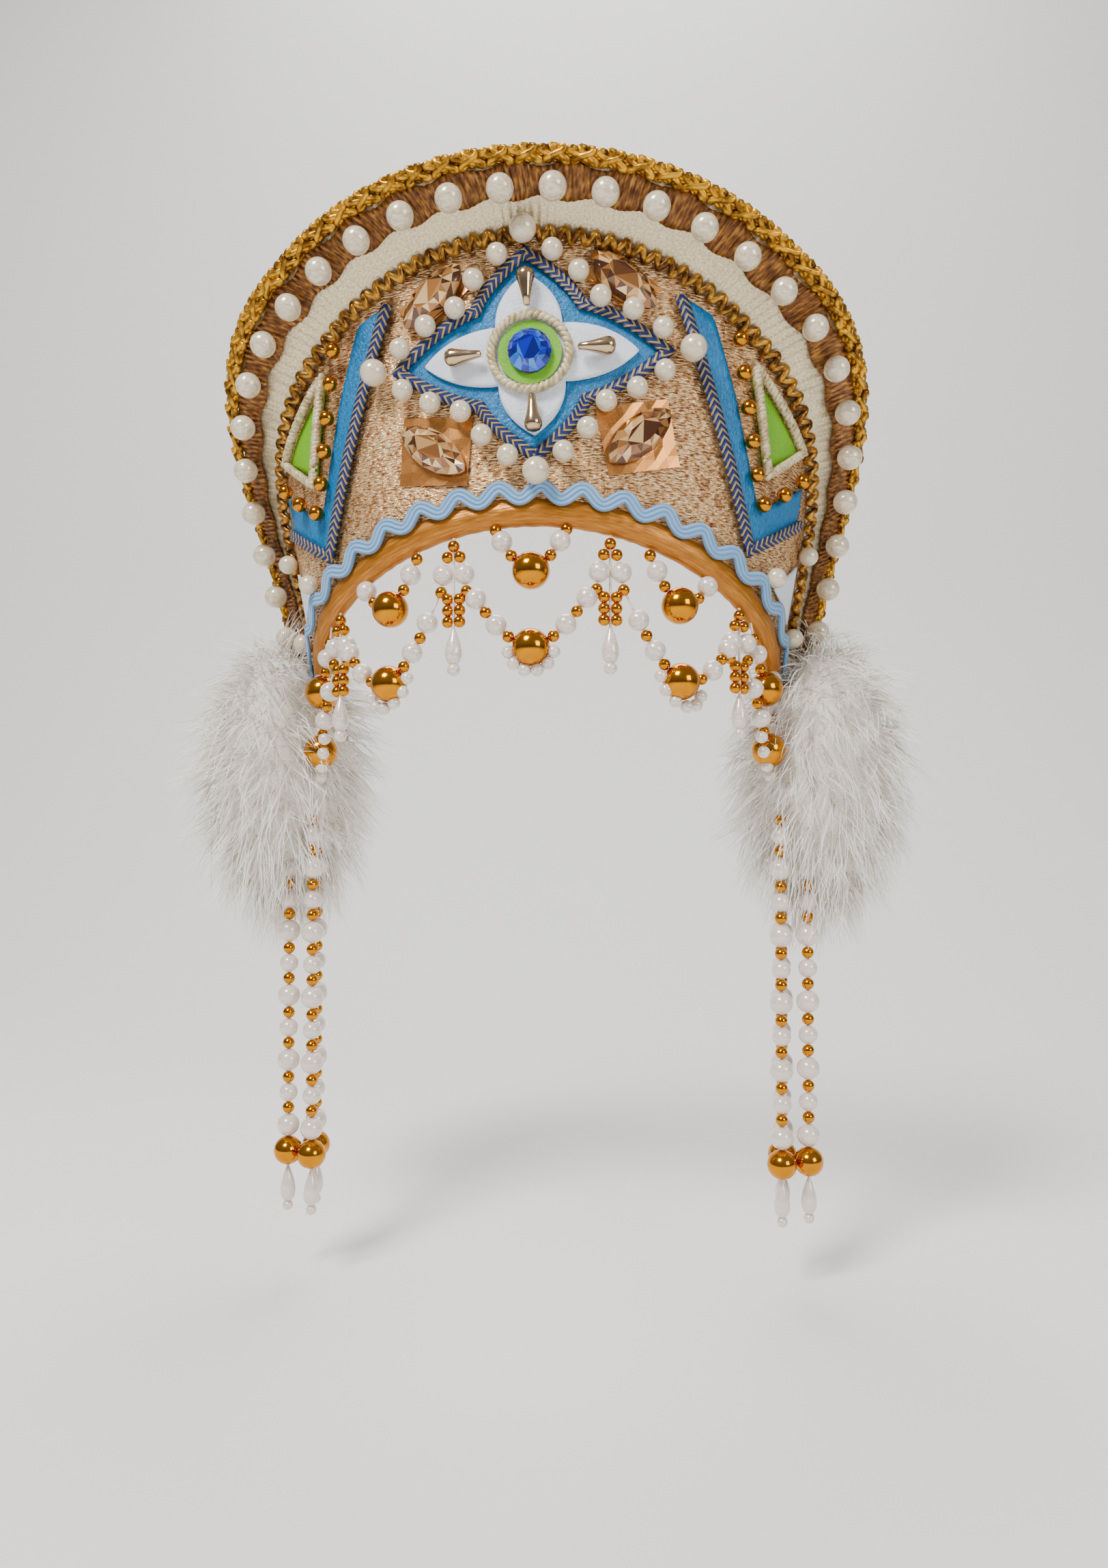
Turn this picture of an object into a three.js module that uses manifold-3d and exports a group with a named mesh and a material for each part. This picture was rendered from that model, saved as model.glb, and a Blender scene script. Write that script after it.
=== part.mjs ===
// Kokoshnik: a stiff crest of gold brocade that wraps the front half of the head, with a flared
// border, an appliqued four-petal motif, beaded forehead net, fur ear puffs and hanging strands.
// Millimetres, +Z up, front towards -Y, +X to the right of someone who looks at the front.
// The origin is the middle of the head, level with the lower edge of the binding at the forehead.
import * as THREE from "three";
import { mergeVertices } from "three/addons/utils/BufferGeometryUtils.js";
import Module from "manifold-3d";

const wasm = await Module();
wasm.setup();

// Driving dimensions of the crest, seen from above: a flat front arc and two tighter side arcs.
const FRONT_Y = -88;
const FRONT_RADIUS = 115;
const FRONT_ANGLE = THREE.MathUtils.degToRad(40);
const SIDE_RADIUS = 72;
const SIDE_LEAN = 0.2;
const LEAN_BASE = -43;

// Upper edge of the brocade field, unrolled: half span, height at the ears, rise and shoulder shape.
const FIELD_SPAN = 143;
const EAR_HEIGHT = -48;
const FIELD_RISE = 155;
const SHOULDER = 1.14;
// The lower edge is a parabola: it drops by the square of the way from the middle over this number.
const BROW_FLATNESS = 276;

// The border stands forward of the field at 45 degrees and narrows towards the ears.
const FLARE = THREE.MathUtils.degToRad(45);
const FLARE_SIDE_SHARE = 0.66;
const BAND_WIDTH = 22;
const PEARL_LINE = 18.5;
const EDGE_BRAID_WIDTH = 11;
const EDGE_CORD_RADIUS = 3;

// Walls and seats: pieces that touch keep a small gap, cloth on the curved board a wider one.
const GAP = 0.3;
const SEAT = 0.5;
const CLOTH = 1;
const BOARD = 3;
const BAND_WALL = 2;
const BRAID = 1.6;

const BINDING_HEIGHT = 10.5;
const BINDING_DEPTH = 7;
const RICKRACK = { wave: 14, swing: 2, width: 3.4 };
const GIMP = { width: 6, height: 1.8, inward: 0.8, up: 1.6 };
const BRAID_WIDTH = 5;

const BORDER_PEARL = 10;
const BORDER_PEARLS = 28;
const BORDER_PITCH = 18.6;
const THREAD = 1.6;
const THREAD_SIDES = 3;

// Motif: half width and half height of each layer, and where its petals meet.
const MOTIF = { v: 62, tilt: THREE.MathUtils.degToRad(3) };
const BACKING = { wide: 48, tall: 36.5, notchU: 17, notchV: 16 };
const PETALS = { wide: 41, tall: 32, notchU: 12.5, notchV: 11 };
const PEARL_PATH = { wide: 56, tall: 44, notchU: 25, notchV: 19.2 };
const DISC_RADIUS = 11.6;
const RING = { radius: 13.6, tube: 1.6 };
const STONE = { radius: 8, foot: 7.4, table: 4.6, girdle: 1.6, height: 4.6 };
const STONE_SIDES = 12;
const DROP = { from: 17.5, length: 14, thin: 1.3, fat: 3.4, belly: 0.8 };
const ROW_PEARL = 7;
const TIP_PEARL = 10;
const NAVETTE = { length: 29, width: 13, table: 0.5, girdle: 1.4, height: 6 };
const FOIL = 0.6;
const NAVETTE_PLACES = [
  { name: "upper", u: 34.5, v: 25.6, turn: -41, foilWide: 19, foilTall: 10 },
  { name: "lower", u: 37.5, v: -31, turn: 38, foilWide: 26, foilTall: 20 },
];

// Side panels on the right half, unrolled; the left half mirrors them.
const PANEL_SECTIONS = [
  { u: 53.5, low: 84, high: 86 },
  { u: 59, low: 68.5, high: 83.5 },
  { u: 66, low: 49, high: 80 },
  { u: 76, low: 20.5, high: 52 },
  { u: 85.5, low: -6, high: 20 },
  { u: 89, low: -4, high: 11 },
  { u: 113, low: 11, high: 25 },
];
const PANEL_BRAID = [
  { u: 53, v: 85.5 },
  { u: 85, v: -4.5 },
  { u: 114, v: 11 },
];
const TRIANGLE_SECTIONS = [
  { u: 82.5, low: 60, high: 62 },
  { u: 90, low: 26.5, high: 53.5 },
  { u: 105, low: 36.8, high: 38 },
];
const TRIANGLE_CORD = [
  { u: 88, v: 35.5 },
  { u: 90.3, v: 24.5 },
  { u: 107, v: 37.3 },
  { u: 82, v: 64 },
  { u: 87.7, v: 36.8 },
];
const SIDE_BEADS = [
  { u: 76, v: 70 },
  { u: 80, v: 47 },
  { u: 85.5, v: 16 },
  { u: 106.5, v: 29 },
];
const CORNER_SECTIONS = [
  { u: 103, low: -16.6, high: -15.4 },
  { u: 121, low: -27.5, high: -4 },
];
const CORNER_PEARLS = [
  { name: "upper", u: 125, v: 1 },
  { name: "inner", u: 98.5, v: -13 },
  { name: "lower", u: 125.5, v: -32.5 },
];
const CORNER_PEARL = 8;
const BEAD = 6;

// Forehead net: strings hang from the binding; drops are measured down from its lower edge.
const NET_STRING = 5;
const NET_BIG = 14;
const NET_COLUMNS = [-84, -29, 29, 84];
const NET_COLUMN_LENGTH = 36;
const NET_TEAR = { length: 15, radius: 4 };
const NET_SWAGS = [-104, -56, 0, 56, 104];
const UPPER_SWAG = { half: 13, drop: 16 };
const LOWER_SWAGS = [
  { from: -126, fromDrop: 4, to: -84, toDrop: 24, drop: 37 },
  { from: -84, fromDrop: 24, to: -29, toDrop: 24, drop: 44 },
  { from: -29, fromDrop: 24, to: 29, toDrop: 24, drop: 44 },
  { from: 29, fromDrop: 24, to: 84, toDrop: 24, drop: 44 },
  { from: 84, fromDrop: 24, to: 126, toDrop: 4, drop: 37 },
];
const NET_HEADER_REACH = 128;

// Ear puffs and the strands that hang out of them.
const FUR = { x: 117, y: -8, z: -88, wide: 29, deep: 36, tall: 57, locks: 24, lock: 14 };
const STRAND = { top: -105, string: 3.6, big: 6, bigDrop: 140, tear: 4, tip: 2.2, length: 170 };
const STRANDS = [
  { name: "outer", x: 108.5, y: -26 },
  { name: "inner", x: 97, y: -31 },
  { name: "rear", x: 99, y: -17.5 },
];

const FINISHES = {
  brocade: { color: 0xc9a27a, roughness: 0.45, metalness: 0.35 },
  lining: { color: 0x0e4a45, roughness: 0.8, metalness: 0 },
  lame: { color: 0xd9cba8, roughness: 0.4, metalness: 0.3 },
  goldBraid: { color: 0xb9862f, roughness: 0.5, metalness: 0.4 },
  brownBraid: { color: 0x7f5020, roughness: 0.6, metalness: 0.2 },
  blueBraid: { color: 0x2a4a80, roughness: 0.6, metalness: 0.1 },
  goldLame: { color: 0xc08020, roughness: 0.4, metalness: 0.4 },
  blueTrim: { color: 0x8dbbe3, roughness: 0.8, metalness: 0 },
  turquoise: { color: 0x2aa3cc, roughness: 0.45, metalness: 0 },
  white: { color: 0xe9edf5, roughness: 0.45, metalness: 0 },
  lime: { color: 0x8fcb12, roughness: 0.5, metalness: 0 },
  cord: { color: 0xcdbd96, roughness: 0.6, metalness: 0.2 },
  blueStone: { color: 0x0a2bd8, roughness: 0.05, metalness: 0 },
  champagne: { color: 0xd9a26a, roughness: 0.05, metalness: 0 },
  foil: { color: 0xd99a5b, roughness: 0.3, metalness: 0.7 },
  metal: { color: 0xc9a98a, roughness: 0.15, metalness: 1 },
  pearl: { color: 0xe8dcc6, roughness: 0.25, metalness: 0 },
  gold: { color: 0xc8860a, roughness: 0.15, metalness: 1 },
  fur: { color: 0xe8e4da, roughness: 0.9, metalness: 0 },
};

// A point of the plan curve at a way u along it, with the direction that the crest faces there.
function plan(u) {
  const side = u < 0 ? -1 : 1;
  const frontEnd = FRONT_RADIUS * FRONT_ANGLE;
  const sideEnd = frontEnd + SIDE_RADIUS * (Math.PI / 2 - FRONT_ANGLE);
  const way = Math.abs(u);
  const front = Math.min(way, frontEnd) / FRONT_RADIUS;
  const turn = Math.max(0, Math.min(way, sideEnd) - frontEnd) / SIDE_RADIUS;
  const angle = front + turn;
  const x = FRONT_RADIUS * Math.sin(front) + SIDE_RADIUS * (Math.sin(angle) - Math.sin(front));
  const y = FRONT_Y + FRONT_RADIUS * (1 - Math.cos(front)) + SIDE_RADIUS * (Math.cos(front) - Math.cos(angle));
  return { x: side * x, y: y + Math.max(0, way - sideEnd), angle: side * angle };
}

// A point of the crest: u along the plan curve, v up, w out of its front face.
function onCrest(u, v, w) {
  const at = plan(u);
  const out = w + SIDE_LEAN * Math.sin(at.angle) ** 2 * (v - LEAN_BASE);
  return new THREE.Vector3(at.x + Math.sin(at.angle) * out, at.y - Math.cos(at.angle) * out, v);
}

const lowEdge = (u) => -(u * u) / BROW_FLATNESS;
const browSlope = (u) => (2 * Math.abs(u)) / BROW_FLATNESS;
// The height of a line that runs beside the lower edge, a square way off it.
const besideBrow = (u, way) => lowEdge(u) + way * Math.hypot(1, browSlope(u));
const boardLow = (u) => besideBrow(u, BINDING_HEIGHT + 2 * GAP);

// The field's upper edge as a curve in (u, v), from the left ear to the right one.
const EDGE_SAMPLES = 48;
const fieldEdge = new THREE.CatmullRomCurve3(
  Array.from({ length: EDGE_SAMPLES + 1 }, (_, i) => {
    const a = (i / EDGE_SAMPLES - 0.5) * Math.PI;
    const v = EAR_HEIGHT + FIELD_RISE * Math.max(0, Math.cos(a)) ** SHOULDER;
    return new THREE.Vector3(FIELD_SPAN * Math.sin(a), v, 0);
  }),
);

// A point of the flared border: s along the edge, d out along the flare, h off its face.
function onRim(s, d, h) {
  const edge = fieldEdge.getPointAt(s);
  const way = fieldEdge.getTangentAt(s);
  const share = THREE.MathUtils.smoothstep(edge.y, 0, EAR_HEIGHT + FIELD_RISE);
  const reach = d * (FLARE_SIDE_SHARE + (1 - FLARE_SIDE_SHARE) * share);
  const along = reach * Math.cos(FLARE) - h * Math.sin(FLARE);
  const out = reach * Math.sin(FLARE) + h * Math.cos(FLARE);
  return onCrest(edge.x - way.y * along, edge.y + way.x * along, out);
}

// Deletes what only drawing needs and joins shared vertices, so that the skin is closed.
function closed(geometry) {
  const bare = geometry.clone();
  bare.deleteAttribute("normal");
  bare.deleteAttribute("uv");
  return mergeVertices(bare, 1e-3);
}

// A unit box with columns and rows, whose points go where the map sends (s, t, h), each 0 to 1.
function bentBox(columns, rows, map) {
  const box = new THREE.BoxGeometry(1, 1, 1, columns, rows, 1);
  const at = box.getAttribute("position");
  for (let i = 0; i < at.count; i++) {
    const p = map(at.getX(i) + 0.5, at.getY(i) + 0.5, at.getZ(i) + 0.5);
    at.setXYZ(i, p.x, p.y, p.z);
  }
  return closed(box);
}

// Adds sections between those given, so that no step along the crest is longer than a column's.
const COLUMN_STEP = 10;
function filled(sections) {
  const out = [sections[0]];
  sections.slice(1).forEach((row, i) => {
    const before = sections[i];
    const count = Math.max(1, Math.ceil(Math.abs(row.u - before.u) / COLUMN_STEP));
    for (let k = 1; k <= count; k++) {
      const mix = (key) => THREE.MathUtils.lerp(before[key], row[key], k / count);
      out.push({ u: mix("u"), low: mix("low"), high: mix("high") });
    }
  });
  return out;
}

// A sheet of cloth on the crest through sections with u, low and high, between two offsets.
function sheet(sections, from, to, rows = 1, place = onCrest) {
  const columns = filled(sections);
  const last = columns.length - 1;
  return bentBox(last, rows, (s, t, h) => {
    const row = columns[Math.round(s * last)];
    const v = THREE.MathUtils.lerp(row.low, row.high, t);
    return place(row.u, v, THREE.MathUtils.lerp(from, to, h));
  });
}

// The sections of a side piece for either half, in the order of growing u.
function mirrored(sections, side) {
  const rows = sections.map((row) => ({ ...row, u: side * row.u }));
  return side > 0 ? rows : rows.reverse();
}

// Sections of the whole crest, spaced along its upper edge.
const CREST_COLUMNS = 40;
const CREST_ROWS = 3;
function crestSections() {
  return Array.from({ length: CREST_COLUMNS + 1 }, (_, i) => {
    const edge = fieldEdge.getPointAt(i / CREST_COLUMNS);
    return { u: edge.x, low: boardLow(edge.x), high: edge.y };
  });
}

// Adds points to a broken line so that no step is longer than the given one.
function stepped(points, step) {
  const out = [new THREE.Vector2(points[0].u, points[0].v)];
  points.slice(1).forEach((p, i) => {
    const a = new THREE.Vector2(points[i].u, points[i].v);
    const b = new THREE.Vector2(p.u, p.v);
    const count = Math.max(1, Math.ceil(a.distanceTo(b) / step));
    for (let k = 1; k <= count; k++) out.push(a.clone().lerp(b, k / count));
  });
  return out;
}

const MITRE_LEAST = 0.7;
// A track along a broken line on the crest: step, way to the left of it, height off the crest.
function crestTrack(points, place = onCrest) {
  const last = points.length - 1;
  const side = points.map((p, i) => {
    const before = p.clone().sub(points[Math.max(0, i - 1)]).normalize();
    const after = points[Math.min(last, i + 1)].clone().sub(p).normalize();
    const mean = before.clone().add(after).normalize();
    const left = new THREE.Vector2(-mean.y, mean.x);
    const square = i === 0 ? after : before;
    return left.divideScalar(Math.max(MITRE_LEAST, Math.abs(left.dot(new THREE.Vector2(-square.y, square.x)))));
  });
  const map = (s, t, h) => {
    const i = Math.round(s * last);
    return place(points[i].x + side[i].x * t, points[i].y + side[i].y * t, h);
  };
  return { steps: last, map };
}

// A track along the border at a way d out on the flare, which stops just short of the ears.
const RIM_COLUMNS = 36;
const RIM_STOP = 0.005;
function rimTrack(d) {
  const map = (s, t, h) => onRim(RIM_STOP + (1 - 2 * RIM_STOP) * s, d + t, h);
  return { steps: RIM_COLUMNS, map };
}

// A flat braid along a track, between two heights.
function strip(track, width, from, to) {
  const map = (s, t, h) => track.map(s, (t - 0.5) * width, THREE.MathUtils.lerp(from, to, h));
  return bentBox(track.steps, 1, map);
}

// A padded roll or cord along a track, round or flattened.
function roll(track, sides, halfWidth, halfHeight, height) {
  const rod = new THREE.CylinderGeometry(1, 1, 1, sides, track.steps);
  const at = rod.getAttribute("position");
  for (let i = 0; i < at.count; i++) {
    const p = track.map(at.getY(i) + 0.5, at.getZ(i) * halfWidth, height + at.getX(i) * halfHeight);
    at.setXYZ(i, p.x, p.y, p.z);
  }
  return closed(rod);
}

function asSolid(geometry) {
  const mesh = new wasm.Mesh({
    numProp: 3,
    vertProperties: new Float32Array(geometry.getAttribute("position").array),
    triVerts: new Uint32Array(geometry.index.array),
  });
  return new wasm.Manifold(mesh);
}

function asGeometry(solid) {
  const mesh = solid.getMesh();
  const geometry = new THREE.BufferGeometry();
  geometry.setAttribute("position", new THREE.BufferAttribute(mesh.vertProperties, 3));
  geometry.setIndex(new THREE.BufferAttribute(mesh.triVerts, 1));
  return geometry;
}

const joined = (pieces) => asGeometry(pieces.map(asSolid).reduce((all, one) => all.add(one)));

function ball(centre, diameter) {
  const sphere = new THREE.OctahedronGeometry(diameter / 2, 1);
  return closed(sphere.translate(centre.x, centre.y, centre.z));
}

// A string through points in space, drawn as a tube.
const STRING_SIDES = 6;
function string(points, diameter, steps, sides = STRING_SIDES) {
  const section = new THREE.Shape();
  for (let i = 0; i < sides; i++) {
    const a = (i / sides) * 2 * Math.PI;
    const x = (diameter / 2) * Math.cos(a);
    const y = (diameter / 2) * Math.sin(a);
    if (i === 0) section.moveTo(x, y);
    else section.lineTo(x, y);
  }
  const extrudePath = new THREE.CatmullRomCurve3(points);
  return closed(new THREE.ExtrudeGeometry(section, { extrudePath, steps }));
}

// A turned piece about a vertical axis from rows of radius and height, top last.
function turned(rows, sides) {
  const profile = rows.map((row) => new THREE.Vector2(row.r, row.z));
  return closed(new THREE.LatheGeometry(profile, sides).rotateX(Math.PI / 2));
}

// Puts a piece that was made at the origin, with +Z up, flat on the crest and turned there.
function seated(geometry, u, v, w, turn = 0) {
  const centre = onCrest(u, v, w);
  const right = onCrest(u + 0.1, v, w).sub(centre).normalize();
  const up = onCrest(u, v + 0.1, w).sub(centre).normalize();
  const out = new THREE.Vector3().crossVectors(right, up);
  const frame = new THREE.Matrix4().makeBasis(right, up, out).setPosition(centre);
  return geometry.rotateZ(THREE.MathUtils.degToRad(turn)).applyMatrix4(frame);
}

// The motif's place: its own u and v from the motif's middle, tilted as it is sewn.
function inMotif(u, v) {
  const c = Math.cos(MOTIF.tilt);
  const s = Math.sin(MOTIF.tilt);
  return { u: u * c - v * s, v: MOTIF.v + u * s + v * c };
}
const onMotif = (u, v, w) => onCrest(inMotif(u, v).u, inMotif(u, v).v, w);

// The upper right quarter of a four-petal outline, from the top point to the right one.
function quarter(size, parts) {
  const tip = new THREE.Vector2(0, size.tall);
  const notch = new THREE.Vector2(size.notchU, size.notchV);
  const end = new THREE.Vector2(size.wide, 0);
  const upperBulge = new THREE.Vector2(size.notchU * 0.8, size.notchV + 0.45 * (size.tall - size.notchV));
  const sideBulge = new THREE.Vector2(size.notchU + 0.45 * (size.wide - size.notchU), size.notchV * 0.8);
  const upper = new THREE.QuadraticBezierCurve(tip, upperBulge, notch).getPoints(parts);
  const side = new THREE.QuadraticBezierCurve(notch, sideBulge, end).getPoints(parts);
  return [...upper, ...side.slice(1)];
}

const POINT = 0.3;
function petalSections(size) {
  const right = quarter(size, 4).map((p) => ({ u: p.x, low: -p.y - POINT, high: p.y + POINT }));
  const left = right.slice(1).map((row) => ({ ...row, u: -row.u }));
  return [...left.reverse(), ...right];
}

// The whole outline as a line that starts and ends just beside the lowest point.
function outline(size, parts) {
  const first = quarter(size, parts);
  const second = first.slice(0, -1).map((p) => new THREE.Vector2(p.x, -p.y));
  const right = [...second, ...first.slice().reverse()];
  const left = right.slice(0, -1).map((p) => new THREE.Vector2(-p.x, p.y));
  const whole = [...right, ...left.reverse()];
  whole[0] = new THREE.Vector2(GAP, whole[0].y);
  whole[whole.length - 1] = new THREE.Vector2(-GAP, whole[0].y);
  return whole;
}

// A round cut stone: a thin girdle, and crown facets round a flat table.
function roundStone() {
  const rows = [
    { r: 0, z: 0 },
    { r: STONE.foot, z: 0 },
    { r: STONE.radius, z: STONE.girdle },
    { r: STONE.table, z: STONE.height },
    { r: 0, z: STONE.height },
  ];
  return turned(rows, STONE_SIDES);
}

// A pointed oval stone: crown facets round a raised table, squeezed to two points.
const SQUEEZE = 1.35;
function navetteStone() {
  const rows = [
    { r: 0, z: 0 },
    { r: 0.94, z: 0 },
    { r: 1, z: NAVETTE.girdle },
    { r: NAVETTE.table, z: NAVETTE.height },
    { r: 0, z: NAVETTE.height },
  ];
  const stone = turned(rows, STONE_SIDES);
  const at = stone.getAttribute("position");
  for (let i = 0; i < at.count; i++) {
    const r = Math.hypot(at.getX(i), at.getY(i));
    const a = Math.atan2(at.getY(i), at.getX(i));
    const squeeze = Math.abs(Math.sin(a)) ** SQUEEZE * Math.sign(Math.sin(a));
    at.setX(i, (r * NAVETTE.length * Math.cos(a)) / 2);
    at.setY(i, (r * NAVETTE.width * squeeze) / 2);
  }
  return stone;
}

// A metal drop that lies along +X, thin end first, with its belly over the origin on z = 0.
function metalDrop() {
  const rows = [
    { r: 0, z: 0 },
    { r: DROP.thin, z: 0.6 },
    { r: DROP.fat * 0.8, z: DROP.length * 0.6 },
    { r: DROP.fat, z: DROP.length * DROP.belly },
    { r: DROP.fat * 0.6, z: DROP.length * 0.96 },
    { r: 0, z: DROP.length },
  ];
  return turned(rows, 10).rotateY(Math.PI / 2).translate(-DROP.length * DROP.belly, 0, DROP.fat);
}

const root = new THREE.Group();

function add(name, geometry, finish) {
  const mesh = new THREE.Mesh(geometry, new THREE.MeshStandardMaterial(FINISHES[finish]));
  mesh.name = name;
  root.add(mesh);
}

const SIDES = [
  { name: "left", sign: -1 },
  { name: "right", sign: 1 },
];

// Crest: brocade on a stiff board, the lining behind it and the flared border round it.
add("crest_board", sheet(crestSections(), -BOARD, 0, CREST_ROWS), "brocade");
add("lining", sheet(crestSections(), -BOARD - SEAT - CLOTH, -BOARD - SEAT, CREST_ROWS), "lining");
const band = strip(rimTrack(0.5 + BAND_WIDTH / 2), BAND_WIDTH, -BAND_WALL, 0);
add("border_band", band, "lame");
const braidFoot = SEAT + GAP;
const braidTop = braidFoot + BRAID;
add("edge_braid", strip(rimTrack(PEARL_LINE), EDGE_BRAID_WIDTH, braidFoot, braidTop), "brownBraid");
const cordLine = PEARL_LINE + EDGE_BRAID_WIDTH / 2 + GAP + EDGE_CORD_RADIUS;
const cordHeight = (braidFoot + braidTop) / 2;
const edgeCord = roll(rimTrack(cordLine), 6, EDGE_CORD_RADIUS, EDGE_CORD_RADIUS, cordHeight);
add("edge_cord", edgeCord, "goldBraid");

// The gimp lies in the crease between field and border, tilted half way between the two.
function creasePoint(s, t, h) {
  const at = RIM_STOP + (1 - 2 * RIM_STOP) * s;
  const edge = fieldEdge.getPointAt(at);
  const way = fieldEdge.getTangentAt(at);
  const c = Math.cos(FLARE / 2);
  const q = Math.sin(FLARE / 2);
  const along = t * c - h * q - GIMP.inward;
  return onCrest(edge.x - way.y * along, edge.y + way.x * along, GIMP.up + t * q + h * c);
}
const crease = { steps: RIM_COLUMNS, map: creasePoint };
add("gimp_braid", strip(crease, GIMP.width, 0, GIMP.height), "goldBraid");

// Border pearls strung on a thread, evenly spaced along the braid.
const pearlHeight = braidTop + GAP + BORDER_PEARL / 2;
const pearlCurve = new THREE.CatmullRomCurve3(
  Array.from({ length: 81 }, (_, i) => onRim(i / 80, PEARL_LINE, pearlHeight)),
);
const pearlWay = pearlCurve.getLength();
const pearlCentres = Array.from({ length: BORDER_PEARLS }, (_, i) => {
  const way = pearlWay / 2 + (i - (BORDER_PEARLS - 1) / 2) * BORDER_PITCH;
  return pearlCurve.getPointAt(way / pearlWay);
});
const borderPearls = pearlCentres.map((centre) => ball(centre, BORDER_PEARL));
const pearlThread = string(pearlCentres, THREAD, BORDER_PEARLS - 1, THREAD_SIDES);
add("border_pearls", joined([pearlThread, ...borderPearls]), "pearl");

// Binding: a padded roll of gold cloth round the lower edge, and the wavy trim above it.
const BROW_STEPS = 26;
const browLine = (reach, rise, swing = 0, steps = BROW_STEPS) =>
  Array.from({ length: steps + 1 }, (_, i) => {
    const u = reach * ((2 * i) / steps - 1);
    return new THREE.Vector2(u, besideBrow(u, rise + (i % 2 ? swing : -swing)));
  });
const bindingTrack = crestTrack(browLine(FIELD_SPAN, BINDING_HEIGHT / 2));
add("binding", roll(bindingTrack, 8, BINDING_HEIGHT / 2, BINDING_DEPTH / 2, -BOARD / 2), "goldLame");
const trimReach = FIELD_SPAN - RICKRACK.wave / 2;
const waves = 4 * Math.round(trimReach / RICKRACK.wave);
const trimTrack = crestTrack(browLine(trimReach, BINDING_HEIGHT + CLOTH, RICKRACK.swing, waves));
const trimFoot = (BINDING_DEPTH - BOARD) / 2 + GAP;
add("rickrack", strip(trimTrack, RICKRACK.width, trimFoot, trimFoot + CLOTH), "blueTrim");

// Motif: turquoise backing, white petals, lime disc, cord ring, blue stone and four drops.
const backTop = SEAT + CLOTH;
const petalTop = backTop + GAP + CLOTH;
add("motif_backing", sheet(petalSections(BACKING), SEAT, backTop, 1, onMotif), "turquoise");
add("motif_petals", sheet(petalSections(PETALS), backTop + GAP, petalTop, 1, onMotif), "white");
const middle = inMotif(0, 0);
const discSeat = petalTop + 2 * GAP;
const disc = new THREE.CylinderGeometry(DISC_RADIUS, DISC_RADIUS, CLOTH, 20).rotateX(Math.PI / 2);
add("motif_disc", seated(closed(disc), middle.u, middle.v, discSeat + CLOTH / 2), "lime");
const ring = new THREE.TorusGeometry(RING.radius, RING.tube, 6, 20);
add("motif_cord", seated(closed(ring), middle.u, middle.v, discSeat + RING.tube), "cord");
add("centre_stone", seated(roundStone(), middle.u, middle.v, discSeat + CLOTH + GAP), "blueStone");
const DROP_NAMES = ["right", "top", "left", "bottom"];
DROP_NAMES.forEach((name, i) => {
  const belly = DROP.from + DROP.length * DROP.belly;
  const far = inMotif(belly * Math.cos((i * Math.PI) / 2), belly * Math.sin((i * Math.PI) / 2));
  const turn = 90 * i + THREE.MathUtils.radToDeg(MOTIF.tilt);
  add("metal_drop_" + name, seated(metalDrop(), far.u, far.v, petalTop + GAP, turn), "metal");
});

// Blue and gold braid on the motif's edge, with the rows of pearls outside it.
const braidTrack = crestTrack(outline(BACKING, 3), onMotif);
add("motif_braid", strip(braidTrack, BRAID_WIDTH, backTop + GAP, backTop + GAP + BRAID), "blueBraid");
const rowHeight = backTop + 2 * GAP + BRAID + ROW_PEARL / 2;
const pearlRows = roll(crestTrack(outline(PEARL_PATH, 2), onMotif), 8, ROW_PEARL / 2, ROW_PEARL / 2, rowHeight);
const tipPlaces = [
  { u: PEARL_PATH.wide, v: 0 },
  { u: -PEARL_PATH.wide, v: 0 },
  { u: 0, v: PEARL_PATH.tall },
  { u: 0, v: -PEARL_PATH.tall },
];
const tips = tipPlaces.map((p) => ball(onMotif(p.u, p.v, rowHeight + 2), TIP_PEARL));
add("motif_pearls", joined([pearlRows, ...tips]), "pearl");

// Champagne stones on squares of foil, in the four corners round the motif.
for (const side of SIDES) {
  for (const place of NAVETTE_PLACES) {
    const { u, v } = inMotif(side.sign * place.u, place.v);
    const turn = side.sign * place.turn + THREE.MathUtils.radToDeg(MOTIF.tilt);
    const c = Math.cos(THREE.MathUtils.degToRad(turn));
    const s = Math.sin(THREE.MathUtils.degToRad(turn));
    const foil = bentBox(3, 2, (a, b, h) => {
      const x = (a - 0.5) * place.foilWide;
      const y = (b - 0.5) * place.foilTall;
      return onCrest(u + x * c - y * s, v + x * s + y * c, SEAT + h * FOIL);
    });
    add("foil_" + place.name + "_" + side.name, foil, "foil");
    const stone = seated(navetteStone(), u, v, SEAT + FOIL + 3 * GAP, turn);
    add("navette_" + place.name + "_" + side.name, stone, "champagne");
  }
}

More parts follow.
